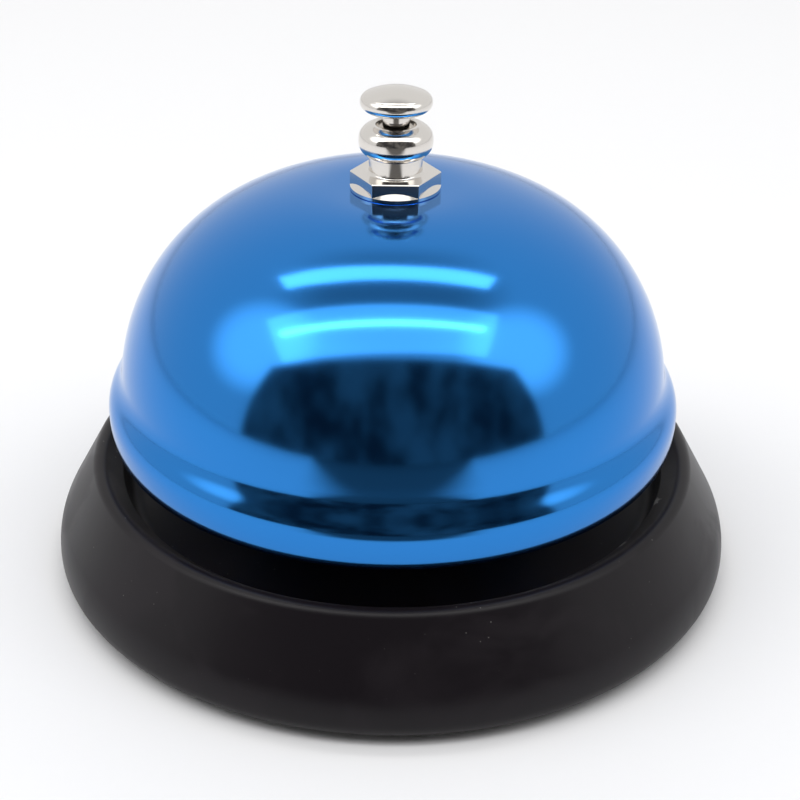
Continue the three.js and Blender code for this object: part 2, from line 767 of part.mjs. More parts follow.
/** Plan of the flat strip: nose, wide web over the pin, and narrow arm. */
function strikerPlan(webHalfWidth, end) {
  const webStart = pivotX - cheekRadius;
  const webEnd = pivotX + cheekRadius;
  const upper = [
    point(-noseOverhang - overcut, noseHalfWidth),
    point(webStart - webShoulder, noseHalfWidth),
    point(webStart, webHalfWidth),
    point(webEnd, webHalfWidth),
    point(webEnd + webShoulder * 2, armHalfWidth),
    point(end, armHalfWidth),
  ];
  const lower = upper.map((corner) => point(corner.x, -corner.y)).reverse();
  return [...upper, ...lower];
}

function strikerArm() {
  const { tip, lean } = strikerFace();
  const webHalfWidth = bracketInnerWidth / 2 - cheekSideGap;
  const strip = extrudeAlongY(ribbon(strikerStrip(), strikerSheet), -webHalfWidth, webHalfWidth);
  const plan = toSolid(extrude(strikerPlan(webHalfWidth, tip.x), gongTopHeight));
  let arm = strip.intersect(plan);

  const middle = stripTop - strikerSheet / 2;
  const cheek = [
    point(pivotX - cheekRadius, middle),
    ...arc(pivotX, pivotZ, cheekRadius, Math.PI, 2 * Math.PI, fullSteps),
    point(pivotX + cheekRadius, middle),
  ];
  arm = arm.add(extrudeAlongY(cheek, -webHalfWidth, -webHalfWidth + strikerSheet));
  arm = arm.add(extrudeAlongY(cheek, webHalfWidth - strikerSheet, webHalfWidth));

  const ball = new THREE.SphereGeometry(dimpleSphere, smallFacets, ballRows);
  const bump = toSolid(ball.rotateX(Math.PI / 2).translate(0, 0, dimpleTop - dimpleSphere));
  const aboveStrip = ring(0, dimpleSphere, middle, dimpleTop + overcut, smallFacets);
  arm = arm.add(bump.intersect(aboveStrip));

  const across = webHalfWidth + overcut;
  const pin = barAlongY(pinRadius + holeClearance, pivotX, pivotZ, -across, across, smallFacets);
  const spigotHole = headSpigotRadius + holeClearance;
  const behindTab = -headLength - strikerSheet - overcut;
  const spigot = ring(0, spigotHole, behindTab, -headLength + overcut, smallFacets);
  return arm.subtract(pin).subtract(placeOnHeadAxis(spigot, tip, lean));
}

/** Moves a solid from the Z axis to the head's axis, with z = 0 at the striking face. */
function placeOnHeadAxis(solid, tip, lean) {
  const degrees = 90 - THREE.MathUtils.radToDeg(lean);
  return solid.rotate([0, degrees, 0]).translate([tip.x, 0, tip.y]);
}

/** A turned weight with a crowned face, and a spigot peened over behind the tab. */
function strikerHead() {
  const { tip, lean } = strikerFace();
  const sphere = (headRadius ** 2 + headCrown ** 2) / (2 * headCrown);
  const edge = Math.asin(headRadius / sphere);
  const face = arc(0, -sphere, sphere, Math.PI / 2 - edge, Math.PI / 2, roundSteps);
  face[face.length - 1].x = 0;
  const peenRadius = headSpigotRadius + headPeenSpread;
  const back = -headLength - strikerSheet;
  const head = revolve([
    point(0, back - headPeen),
    point(peenRadius - fineChamfer, back - headPeen),
    point(peenRadius, back),
    point(headSpigotRadius, back),
    point(headSpigotRadius, -headLength),
    point(headRadius - broadChamfer, -headLength),
    point(headRadius, -headLength + broadChamfer),
    ...face,
  ], smallFacets);
  return placeOnHeadAxis(head, tip, lean);
}

/** The pin that the striker turns on, with a head at one end and a clip groove at the other. */
function pivotPin() {
  const headFace = -legOuter - holeClearance;
  const grooveEnd = grooveStart + clipThickness + 2 * holeClearance;
  const pin = revolve([
    point(0, headFace - pinHeadThickness),
    point(pinHeadRadius - fineChamfer, headFace - pinHeadThickness),
    point(pinHeadRadius, headFace - pinHeadThickness + fineChamfer),
    point(pinHeadRadius, headFace),
    point(pinRadius, headFace),
    point(pinRadius, grooveStart),
    point(pinGrooveRadius, grooveStart),
    point(pinGrooveRadius, grooveEnd),
    point(pinRadius, grooveEnd),
    point(pinRadius, grooveEnd + pinTail - fineChamfer),
    point(pinRadius - fineChamfer, grooveEnd + pinTail),
    point(0, grooveEnd + pinTail),
  ], smallFacets);
  return pin.rotate([-90, 0, 0]).translate([pivotX, 0, pivotZ]);
}

/** A retaining clip: a flat C that snaps into the pin's groove from above. */
function pinClip() {
  const inner = pinGrooveRadius + holeClearance;
  const innerEdge = Math.asin(clipMouth / 2 / inner);
  const outerEdge = Math.asin(clipMouth / 2 / clipRadius);
  const mouth = Math.PI / 2;
  const turn = 2 * Math.PI;
  const steps = 2 * sweepSteps;
  const outline = [
    ...arc(pivotX, pivotZ, clipRadius, mouth + outerEdge, mouth - outerEdge + turn, steps),
    ...arc(pivotX, pivotZ, inner, mouth - innerEdge + turn, mouth + innerEdge, steps),
  ];
  const start = grooveStart + holeClearance;
  return extrudeAlongY(outline, start, start + clipThickness);
}

// ---------------------------------------------------------------- assembly

const finishes = {
  blackPaint: { color: 0x141417, roughness: 0.38, metalness: 0.1 },
  rubber: { color: 0x1b1b1d, roughness: 0.85, metalness: 0 },
  blueLacquer: { color: 0x1466b8, roughness: 0.06, metalness: 1 },
  nickel: { color: 0xcfc8be, roughness: 0.12, metalness: 1 },
  zinc: { color: 0xa9adb0, roughness: 0.38, metalness: 1 },
  steel: { color: 0x8f9296, roughness: 0.3, metalness: 1 },
  brass: { color: 0xc39a4d, roughness: 0.28, metalness: 1 },
  fibre: { color: 0x7b2f22, roughness: 0.8, metalness: 0 },
};

const pieces = {
  base_shell: [baseShell(), 'blackPaint'],
  foot_ring: [footRing(), 'rubber'],
  mechanism_bracket: [mechanismBracket(), 'zinc'],
  bracket_rivet_front: [bracketRivet(-1), 'steel'],
  bracket_rivet_back: [bracketRivet(1), 'steel'],
  center_post: [centerPost(), 'nickel'],
  post_lock_washer: [postLockWasher(), 'steel'],
  post_nut: [postNut(), 'zinc'],
  guide_bush: [guideBush(), 'brass'],
  seat_washer: [seatWasher(), 'fibre'],
  bell_dome: [bellDome(), 'blueLacquer'],
  finial_nut: [finialNut(), 'nickel'],
  push_button: [pushButton(), 'nickel'],
  plunger_rod: [plungerRod(), 'nickel'],
  plunger_collar: [plungerCollar(), 'steel'],
  return_spring: [returnSpring(), 'steel'],
  pivot_pin: [pivotPin(), 'steel'],
  pin_clip: [pinClip(), 'steel'],
  striker_arm: [strikerArm(), 'zinc'],
  striker_head: [strikerHead(), 'brass'],
};

const bell = new THREE.Group();
for (const [name, [solid, finish]] of Object.entries(pieces)) {
  const mesh = new THREE.Mesh(toGeometry(solid), new THREE.MeshStandardMaterial(finishes[finish]));
  mesh.name = name;
  bell.add(mesh);
}

export default bell;
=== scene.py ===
"""A counter service bell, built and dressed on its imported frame.

Metres, +Z up, in the frame of the CAD model: the bell stands on z = 0 and its button,
gong and base share the Z axis. Each sub-assembly is a class that takes its main sizes from
the frame's nodes, builds smooth pieces in their place, and gives them their finishes.
"""

import json
import logging
import math
from collections.abc import Callable, Sequence
from dataclasses import dataclass, field
from enum import Enum

import bmesh
import bpy
from mathutils import Matrix, Vector


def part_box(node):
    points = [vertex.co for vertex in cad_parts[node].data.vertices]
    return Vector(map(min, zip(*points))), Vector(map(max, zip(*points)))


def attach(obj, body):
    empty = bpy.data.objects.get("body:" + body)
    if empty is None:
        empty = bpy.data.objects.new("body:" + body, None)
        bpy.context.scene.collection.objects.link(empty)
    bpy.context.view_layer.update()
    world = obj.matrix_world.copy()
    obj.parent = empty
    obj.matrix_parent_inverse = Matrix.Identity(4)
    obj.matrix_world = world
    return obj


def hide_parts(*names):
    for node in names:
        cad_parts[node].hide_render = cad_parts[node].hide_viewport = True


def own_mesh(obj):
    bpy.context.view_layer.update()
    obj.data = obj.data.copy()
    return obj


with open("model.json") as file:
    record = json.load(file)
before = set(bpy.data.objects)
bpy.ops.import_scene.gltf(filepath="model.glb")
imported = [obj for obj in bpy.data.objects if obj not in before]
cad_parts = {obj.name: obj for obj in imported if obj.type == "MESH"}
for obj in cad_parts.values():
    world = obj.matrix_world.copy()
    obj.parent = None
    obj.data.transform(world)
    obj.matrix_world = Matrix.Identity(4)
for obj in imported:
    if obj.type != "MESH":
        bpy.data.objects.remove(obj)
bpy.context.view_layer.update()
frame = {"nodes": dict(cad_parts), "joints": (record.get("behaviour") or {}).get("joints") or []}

log = logging.getLogger("service_bell")

MM = 0.001
FINE = 256  # facets round the base and the gong
TURNED = 96  # facets round a small turned piece

Point = tuple[float, float]
Corner = tuple[float, float, float]
Colour = tuple[float, float, float]


class Body(Enum):
    """The bodies of the frame that pieces ride on."""

    HOUSING = "housing"
    PLUNGER = "plunger"
    STRIKER = "striker"


class Slot(Enum):
    """The record's material slots."""

    BLUE_LACQUER = "blue_lacquer"
    BLACK_PAINT = "black_paint"
    NICKEL_PLATE = "nickel_plate"
    ZINC_PLATE = "zinc_plate"
    BRIGHT_STEEL = "bright_steel"
    TURNED_BRASS = "turned_brass"
    RED_FIBRE = "red_fibre"
    FOOT_RUBBER = "foot_rubber"


# ---------------------------------------------------------------- outlines


def arc(centre: Point, radius: float, start: float, end: float, steps: int) -> list[Point]:
    """Points on an arc, both ends included.

    Args:
        centre: Centre of the arc.
        radius: Its radius.
        start: First angle, in radians.
        end: Last angle, in radians.
        steps: Number of chords.

    Returns:
        The points in order.
    """
    angles = [start + (end - start) * i / steps for i in range(steps + 1)]
    return [(centre[0] + radius * math.cos(a), centre[1] + radius * math.sin(a)) for a in angles]


def rounded(corners: Sequence[Corner | Point], steps: int = 4, closed: bool = True) -> list[Point]:
    """A path with an arc at each corner that gives a radius.

    Args:
        corners: Points as (x, y) or (x, y, radius).
        steps: Chords in each arc.
        closed: Whether the last corner joins the first.

    Returns:
        The points of the path.
    """
    path: list[Point] = []
    count = len(corners)
    for i, corner in enumerate(corners):
        here = Vector(corner[:2])
        radius = corner[2] if len(corner) > 2 else 0.0
        if radius <= 0 or (not closed and i in (0, count - 1)):
            path.append(tuple(here))
            continue
        back = (Vector(corners[i - 1][:2]) - here).normalized()
        ahead = (Vector(corners[(i + 1) % count][:2]) - here).normalized()
        half = back.angle(ahead) / 2
        centre = here + (back + ahead).normalized() * (radius / math.sin(half))
        first = here + back * (radius / math.tan(half)) - centre
        last = here + ahead * (radius / math.tan(half)) - centre
        begin = math.atan2(first.y, first.x)
        turn = math.remainder(math.atan2(last.y, last.x) - begin, math.tau)
        path += arc(tuple(centre), radius, begin, begin + turn, steps)
    return path


def offset(path: Sequence[Point], distance: float) -> list[Point]:
    """The same path moved sideways, to its left for a positive distance.

    Args:
        path: An open path.
        distance: How far it moves.

    Returns:
        The moved path, point for point.
    """
    moved: list[Point] = []
    points = [Vector(p) for p in path]
    for i, here in enumerate(points):
        into = (here - points[i - 1]).normalized() if i else None
        out = (points[i + 1] - here).normalized() if i < len(points) - 1 else None
        into, out = into or out, out or into
        along = (into + out).normalized()
        left = Vector((-along.y, along.x))
        mitre = Vector((-out.y, out.x)).dot(left)
        moved.append(tuple(here + left * (distance / mitre)))
    return moved


def bezier(points: Sequence[Point], steps: int) -> list[Point]:
    """Points on a Bezier curve of any order, both ends included.

    Args:
        points: Control points.
        steps: Number of chords.

    Returns:
        The points in order.
    """
    curve: list[Point] = []
    for i in range(steps + 1):
        t = i / steps
        row = [Vector(p) for p in points]
        while len(row) > 1:
            row = [a.lerp(b, t) for a, b in zip(row, row[1:])]
        curve.append(tuple(row[0]))
    return curve


# ---------------------------------------------------------------- meshes


def finish_mesh(name: str, mesh_data: bmesh.types.BMesh, crease: float) -> bpy.types.Object:
    """Turns built faces into an object with smooth shading and sharp creases.

    Args:
        name: Name of the piece.
        mesh_data: The faces, which are freed here.
        crease: Edges that turn more than this angle stay sharp, in radians.

    Returns:
        The new object, linked to the scene.
    """
    bmesh.ops.recalc_face_normals(mesh_data, faces=mesh_data.faces[:])
    mesh = bpy.data.meshes.new(name)
    mesh_data.to_mesh(mesh)
    mesh_data.free()
    for polygon in mesh.polygons:
        polygon.use_smooth = True
    mesh.set_sharp_from_angle(angle=crease)
    piece = bpy.data.objects.new(name, mesh)
    bpy.context.scene.collection.objects.link(piece)
    return piece


def skin(
    name: str,
    rings: Sequence[Sequence[Vector]],
    closed: bool = True,
    crease: float = math.radians(38),
) -> bpy.types.Object:
    """Joins rings of points into a closed surface. A ring of one point is a pole.

    Args:
        name: Name of the piece.
        rings: Rings in order, with the same number of points in each.
        closed: Whether the last ring joins the first; otherwise open ends are capped.
        crease: Edges sharper than this stay sharp, in radians.

    Returns:
        The new object.
    """
    work = bmesh.new()
    made = [[work.verts.new(p) for p in ring] for ring in rings]
    pairs = list(zip(made, made[1:]))
    if closed:
        pairs.append((made[-1], made[0]))
    for lower, upper in pairs:
        count = max(len(lower), len(upper))
        if count == 1:
            continue
        for i in range(count):
            j = (i + 1) % count
            loop = [lower[i % len(lower)], lower[j % len(lower)]]
            loop += [upper[j % len(upper)], upper[i % len(upper)]]
            corners = list(dict.fromkeys(loop))
            work.faces.new(corners)
    if not closed:
        for end in (made[0], made[-1]):
            if len(end) > 1:
                work.faces.new(end)
    return finish_mesh(name, work, crease)


def turned(
    name: str,
    section: Sequence[Point],
    facets: int = TURNED,
    place: Matrix | None = None,
) -> bpy.types.Object:
    """Turns a section about Z. A section that starts and ends on the axis is solid there.

    Args:
        name: Name of the piece.
        section: Points as (radius, height).
        facets: Facets round the axis.
        place: Where the piece's own axis goes; left out, it stays on Z.

    Returns:
        The new object.
    """
    on_axis = section[0][0] < 1e-9 and section[-1][0] < 1e-9
    angles = [math.tau * i / facets for i in range(facets)]
    rings = []
    for radius, height in section:
        if radius < 1e-9:
            rings.append([Vector((0, 0, height))])
            continue
        rings.append([Vector((radius * math.cos(a), radius * math.sin(a), height)) for a in angles])
    piece = skin(name, rings, closed=not on_axis)
    if place is not None:
        piece.data.transform(place)
    return piece


def soften(piece: bpy.types.Object, width: float, angle: float = math.radians(40)) -> None:
    """Breaks a piece's sharp edges with a narrow bevel.

    Args:
        piece: The piece, which may be a node of the frame.
        width: Width of the bevel.
        angle: Edges that turn less than this are left, in radians.
    """
    bevel = piece.modifiers.new("broken_edges", "BEVEL")
    bevel.width = width
    bevel.segments = 2
    bevel.limit_method = "ANGLE"
    bevel.angle_limit = angle
    bevel.use_clamp_overlap = True


def dress(piece: bpy.types.Object, finish: "Finish") -> None:
    """Gives every face of a piece one finish.

    Args:
        piece: The piece, which may be a node of the frame.
        finish: Its finish.
    """
    material = finish.material()
    if not piece.data.materials:
        piece.data.materials.append(material)
    for place in piece.material_slots:
        place.material = material


def fit(piece: bpy.types.Object, node: str, body: Body, finish: "Finish") -> None:
    """Puts a piece in a node's place on its body, and dresses it.

    Args:
        piece: The new piece.
        node: The node that it stands for.
        body: The body it rides on.
        finish: Its finish.
    """
    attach(piece, body.value)
    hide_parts(node)
    dress(piece, finish)
    log.info("%s stands for %s on %s", piece.name, node, body.value)


# ---------------------------------------------------------------- shader groups


class Wiring:
    """Adds nodes to one shader tree and joins them."""

    def __init__(self, tree: bpy.types.NodeTree) -> None:
        """Keeps the tree.

        Args:
            tree: A material's, a group's or the world's tree.
        """
        self.tree = tree

    def add(self, kind: str, settings: dict | None = None, **inputs: object) -> bpy.types.Node:
        """Adds a node.

        Args:
            kind: Its type, without the ShaderNode prefix.
            settings: Properties of the node.
            **inputs: Values or sockets for its inputs, by name, with _ for a space, or
                i0, i1 and so on by place.

        Returns:
            The node.
        """
        node = self.tree.nodes.new("ShaderNode" + kind)
        for key, value in (settings or {}).items():
            setattr(node, key, value)
        for key, value in inputs.items():
            by_place = key[0] == "i" and key[1:].isdigit()
            socket = node.inputs[int(key[1:])] if by_place else node.inputs[key.replace("_", " ")]
            if isinstance(value, bpy.types.NodeSocket):
                self.tree.links.new(value, socket)
            else:
                socket.default_value = value
        return node

    def math(self, operation: str, first: object, second: object = 0.0) -> bpy.types.NodeSocket:
        """The result of a Math node on one or two values or sockets."""
        return self.add("Math", {"operation": operation}, i0=first, i1=second).outputs[0]

    def vector(self, operation: str, first: object, second: object) -> bpy.types.NodeSocket:
        """The vector result of a Vector Math node."""
        return self.add("VectorMath", {"operation": operation}, i0=first, i1=second).outputs[0]

    def ramp(
        self, value: object, low: float, high: float, to_low: float = 0.0, to_high: float = 1.0
    ) -> bpy.types.NodeSocket:
        """A smooth step of a value from one range to another.

        Args:
            value: Socket or number to map.
            low: Value that gives to_low.
            high: Value that gives to_high.
            to_low: Result at and below low.
            to_high: Result at and above high.

        Returns:
            The mapped socket.
        """
        node = self.add(
            "MapRange",
            {"interpolation_type": "SMOOTHSTEP"},
            Value=value, From_Min=low, From_Max=high, To_Min=to_low, To_Max=to_high,
        )
        return node.outputs["Result"]

    def blend(self, share: object, first: object, second: object) -> bpy.types.NodeSocket:
        """The mix of two colours, by a share of the second."""
        node = self.add("Mix", {"data_type": "RGBA"}, i0=share, i6=first, i7=second)
        return node.outputs[2]


class ShaderGroup:
    """A shader node group with named inputs and outputs, built once."""

    def __init__(
        self,
        name: str,
        inputs: dict[str, float | tuple],
        outputs: Sequence[str],
        wire: Callable[[Wiring, dict[str, bpy.types.NodeSocket]], dict[str, object]],
    ) -> None:
        """Makes the group's sockets and wires its nodes.

        Args:
            name: Name of the group.
            inputs: Default of each input; a tuple makes it a vector.
            outputs: Names of its values.
            wire: Wires the nodes, from the inputs' sockets to a socket for each output.
        """
        self.tree = bpy.data.node_groups.new(name, "ShaderNodeTree")
        for key, value in inputs.items():
            kind = "NodeSocketVector" if isinstance(value, tuple) else "NodeSocketFloat"
            socket = self.tree.interface.new_socket(key, in_out="INPUT", socket_type=kind)
            socket.default_value = value
        for key in outputs:
            self.tree.interface.new_socket(key, in_out="OUTPUT", socket_type="NodeSocketFloat")
        start = self.tree.nodes.new("NodeGroupInput")
        end = self.tree.nodes.new("NodeGroupOutput")
        sockets = {key: start.outputs[key] for key in inputs}
        for key, socket in wire(Wiring(self.tree), sockets).items():
            self.tree.links.new(socket, end.inputs[key])

    def place(self, wiring: Wiring, output: str, **inputs: object) -> bpy.types.NodeSocket:
        """Puts the group in a tree.

        Args:
            wiring: The tree it goes into.
            output: Name of the output that is wanted.
            **inputs: Values or sockets for its inputs.

        Returns:
            The output's socket.
        """
        return wiring.add("Group", {"node_tree": self.tree}, **inputs).outputs[output]


def wire_grain(w: Wiring, given: dict[str, bpy.types.NodeSocket]) -> dict[str, object]:
    """Fine random grain: two noises of different size, added.

    Args:
        w: Wiring of the group's tree.
        given: The group's input sockets, by name.

    Returns:
        A socket for each of the group's outputs.
    """
    fine = w.add("TexNoise", None, Vector=given["Vector"], Scale=given["Scale"], Detail=3.0)
    broad_scale = w.math("MULTIPLY", given["Scale"], 0.23)
    broad = w.add("TexNoise", None, Vector=given["Vector"], Scale=broad_scale, Detail=2.0)
    total = w.math("ADD", w.math("MULTIPLY", fine.outputs[0], 0.6), w.math("MULTIPLY", broad.outputs[0], 0.4))
    return {"Height": total}


def wire_marks(w: Wiring, given: dict[str, bpy.types.NodeSocket]) -> dict[str, object]:
    """Turning marks: noise that runs round the Z axis, by distance from it and height.

    Args:
        w: Wiring of the group's tree.
        given: The group's input sockets, by name.

    Returns:
        A socket for each of the group's outputs.
    """
    parts = w.add("SeparateXYZ", None, Vector=given["Vector"])
    square = w.math("ADD", w.math("POWER", parts.outputs[0], 2.0), w.math("POWER", parts.outputs[1], 2.0))
    radius = w.math("SQRT", square)
    slight = w.math("MULTIPLY", parts.outputs[0], 0.02)
    across = w.add("CombineXYZ", None, X=radius, Y=slight, Z=parts.outputs[2])
    lines = w.add("TexNoise", None, Vector=across.outputs[0], Scale=given["Scale"], Detail=2.0)
    return {"Height": lines.outputs[0]}


def wire_smears(w: Wiring, given: dict[str, bpy.types.NodeSocket]) -> dict[str, object]:
    """Broad uneven patches, as handling leaves on a polished face.

    Args:
        w: Wiring of the group's tree.
        given: The group's input sockets, by name.

    Returns:
        A socket for each of the group's outputs.
    """
    noise = w.add(
        "TexNoise", None,
        Vector=given["Vector"], Scale=given["Scale"], Detail=4.0, Roughness=0.55, Distortion=1.1,
    )
    edge = w.math("SUBTRACT", 1.0, given["Cover"])
    rise = w.math("SUBTRACT", noise.outputs[0], w.ramp(edge, 0.0, 1.0, 0.3, 0.7))
    return {"Mask": w.ramp(rise, -0.06, 0.1)}


def wire_scratches(w: Wiring, given: dict[str, bpy.types.NodeSocket]) -> dict[str, object]:
    """Sparse hairline scratches in two directions.

    Args:
        w: Wiring of the group's tree.
        given: The group's input sockets, by name.

    Returns:
        A socket for each of the group's outputs.
    """
    masks = []
    for turn in ((0.3, 0.9, 0.4), (1.3, 0.2, 2.1)):
        rotated = w.add("Mapping", None, Vector=given["Vector"], Rotation=turn, Scale=(1.0, 0.035, 1.0))
        cells = w.add(
            "TexVoronoi", {"feature": "DISTANCE_TO_EDGE"},
            Vector=rotated.outputs[0], Scale=given["Scale"],
        )
        line = w.ramp(cells.outputs[0], 0.0, 0.012, 1.0, 0.0)
        gate = w.add("TexNoise", None, Vector=given["Vector"], Scale=w.math("MULTIPLY", given["Scale"], 0.31))
        masks.append(w.math("MULTIPLY", line, w.ramp(gate.outputs[0], 0.52, 0.62)))
    return {"Mask": w.math("MAXIMUM", masks[0], masks[1])}


def wire_dust(w: Wiring, given: dict[str, bpy.types.NodeSocket]) -> dict[str, object]:
    """Specks and a thin film of dust on faces that look up.

    Args:
        w: Wiring of the group's tree.
        given: The group's input sockets, by name.

    Returns:
        A socket for each of the group's outputs.
    """
    facing = w.add("SeparateXYZ", None, Vector=w.add("NewGeometry").outputs["Normal"])
    up = w.ramp(facing.outputs[2], 0.2, 1.0)
    specks = w.add("TexVoronoi", None, Vector=given["Vector"], Scale=given["Scale"])
    spots = w.ramp(specks.outputs["Distance"], 0.02, 0.09, 1.0, 0.0)
    some = w.add("TexNoise", None, Vector=given["Vector"], Scale=w.math("MULTIPLY", given["Scale"], 0.17))
    sparse = w.math("MULTIPLY", spots, w.ramp(some.outputs[0], 0.5, 0.7))
    film = w.math("MULTIPLY", some.outputs[0], given["Film"])
    return {"Mask": w.math("MULTIPLY", up, w.math("ADD", sparse, film))}


def wire_wear(w: Wiring, given: dict[str, bpy.types.NodeSocket]) -> dict[str, object]:
    """Wear on outward edges, broken up by noise.

    Args:
        w: Wiring of the group's tree.
        given: The group's input sockets, by name.

    Returns:
        A socket for each of the group's outputs.
    """
    edges = w.ramp(w.add("NewGeometry").outputs["Pointiness"], 0.51, 0.58)
    noise = w.add("TexNoise", None, Vector=given["Vector"], Scale=given["Scale"], Detail=3.0)
    broken = w.ramp(noise.outputs[0], 0.42, 0.62)
    return {"Mask": w.math("MULTIPLY", w.math("MULTIPLY", edges, broken), given["Amount"])}


class Effects:
    """The shader groups that the finishes share."""

    def __init__(self) -> None:
        """Builds each group."""
        origin = (0.0, 0.0, 0.0)
        self.grain = ShaderGroup("fine_grain", {"Vector": origin, "Scale": 500.0}, ["Height"], wire_grain)
        self.marks = ShaderGroup("turning_marks", {"Vector": origin, "Scale": 4000.0}, ["Height"], wire_marks)
        self.smears = ShaderGroup(
            "smears", {"Vector": origin, "Scale": 40.0, "Cover": 0.4}, ["Mask"], wire_smears
        )
        self.scratches = ShaderGroup(
            "hairlines", {"Vector": origin, "Scale": 150.0}, ["Mask"], wire_scratches
        )
        self.dust = ShaderGroup(
            "dust", {"Vector": origin, "Scale": 900.0, "Film": 0.05}, ["Mask"], wire_dust
        )
        self.wear = ShaderGroup(
            "edge_wear", {"Vector": origin, "Scale": 600.0, "Amount": 0.5}, ["Mask"], wire_wear
        )


effects = Effects()


# ---------------------------------------------------------------- finishes


@dataclass(frozen=True)
class Finish:
    """How one surface is coloured, polished, marked and worn."""

    name: str
    colour: Colour
    tint: Colour  # where it is smeared or cloudy
    metallic: float
    roughness: float
    smeared_roughness: float
    smear_scale: float = 45.0
    smear_cover: float = 0.4
    coat: float = 0.0
    coat_roughness: float = 0.05
    grain_scale: float = 700.0
    grain_depth: float = 2e-6
    marks_scale: float = 0.0  # turning marks, none at 0
    marks_depth: float = 0.0
    scratch_roughness: float = 0.0  # added in a hairline
    wear: float = 0.0
    bare: Colour = (0.5, 0.5, 0.5)  # under the worn finish
    dust: float = 0.0
    dust_colour: Colour = (0.55, 0.53, 0.5)
    specular: float = 0.5

    def material(self) -> bpy.types.Material:
        """The finish's material, built the first time it is asked for."""
        known = bpy.data.materials.get(self.name)
        return known or self.build()

    def build(self) -> bpy.types.Material:
        """Wires the material.

        Returns:
            The new material.
        """
        made = bpy.data.materials.new(self.name)
        made.use_nodes = True
        made.node_tree.nodes.clear()
        w = Wiring(made.node_tree)
        place = w.add("TexCoord").outputs["Object"]
        smeared = effects.smears.place(
            w, "Mask", Vector=place, Scale=self.smear_scale, Cover=self.smear_cover
        )
        colour = w.blend(smeared, (*self.colour, 1), (*self.tint, 1))
        rough = w.ramp(smeared, 0.0, 1.0, self.roughness, self.smeared_roughness)
        metal: object = self.metallic
        if self.scratch_roughness:
            hair = effects.scratches.place(w, "Mask", Vector=place)
            rough = w.math("ADD", rough, w.math("MULTIPLY", hair, self.scratch_roughness))
        if self.wear:
            worn = effects.wear.place(w, "Mask", Vector=place, Amount=self.wear)
            colour, metal, rough = self.show_bare(w, worn, colour, rough)
        bare = self.nicks(w, place)
        if bare is not None:
            colour, metal, rough = self.show_bare(w, bare, colour, rough, metal)
        if self.dust:
            dusty = effects.dust.place(w, "Mask", Vector=place, Film=self.dust)
            colour = w.blend(dusty, colour, (*self.dust_colour, 1))
            rough = w.math("ADD", rough, w.math("MULTIPLY", dusty, 0.4))
        height = effects.grain.place(w, "Height", Vector=place, Scale=self.grain_scale)
        bump = w.add("Bump", None, Strength=1.0, Distance=self.grain_depth, Height=height)
        if self.marks_scale:
            lines = effects.marks.place(w, "Height", Vector=place, Scale=self.marks_scale)
            bump = w.add(
                "Bump", None,
                Strength=1.0, Distance=self.marks_depth, Height=lines, Normal=bump.outputs[0],
            )
        shader = w.add(
            "BsdfPrincipled", None,
            Base_Color=colour, Metallic=metal, Roughness=rough, Normal=bump.outputs[0],
            Coat_Weight=self.coat, Coat_Roughness=self.coat_roughness,
            Specular_IOR_Level=self.specular,
        )
        out = w.add("OutputMaterial")
        w.tree.links.new(shader.outputs[0], out.inputs[0])
        return made

    def nicks(self, w: Wiring, place: bpy.types.NodeSocket) -> bpy.types.NodeSocket | None:
        """The mask of chips through this finish; a plain finish has none."""
        return None

    def show_bare(
        self,
        w: Wiring,
        mask: bpy.types.NodeSocket,
        colour: bpy.types.NodeSocket,
        rough: bpy.types.NodeSocket,
        metal: object = None,
    ) -> tuple[bpy.types.NodeSocket, bpy.types.NodeSocket, bpy.types.NodeSocket]:
        """Lets the metal under the finish show where a mask is 1.

        Args:
            w: The material's wiring.
            mask: Where the metal shows.
            colour: The finish's colour.
            rough: The finish's roughness.
            metal: The finish's metallic value so far.

        Returns:
            Colour, metallic and roughness sockets.
        """
        before = self.metallic if metal is None else metal
        shown = w.math("MAXIMUM", w.math("MULTIPLY", mask, 1.0), before)
        smooth = w.ramp(mask, 0.0, 1.0, 0.0, 0.12)
        return w.blend(mask, colour, (*self.bare, 1)), shown, w.math("ADD", rough, smooth)


@dataclass(frozen=True)
class ChippedPaint(Finish):
    """Paint that is chipped to the metal in a few small places."""

    chips: tuple[tuple[float, float], ...] = ()  # angle round the edge in degrees, and size
    chip_radius: float = 0.0  # from the axis out to the chipped edge
    chip_height: float = 0.0

    def nicks(self, w: Wiring, place: bpy.types.NodeSocket) -> bpy.types.NodeSocket | None:
        """The mask of the chips: a ragged spot round each place.

        Args:
            w: The material's wiring.
            place: Where on the piece it is shaded.

        Returns:
            The mask, or None without chips.
        """
        ragged = w.add("TexNoise", None, Vector=place, Scale=2600.0, Detail=3.0).outputs[0]
        mask: bpy.types.NodeSocket | None = None
        for turn, size in self.chips:
            along = math.radians(turn)
            chip = (
                self.chip_radius * math.cos(along), self.chip_radius * math.sin(along), self.chip_height
            )
            away = w.add("VectorMath", {"operation": "DISTANCE"}, i0=place, i1=chip).outputs["Value"]
            reach = w.math("ADD", w.math("DIVIDE", away, size), w.math("MULTIPLY", ragged, 1.1))
            spot = w.ramp(reach, 0.95, 1.1, 1.0, 0.0)
            mask = spot if mask is None else w.math("MAXIMUM", mask, spot)
        return mask


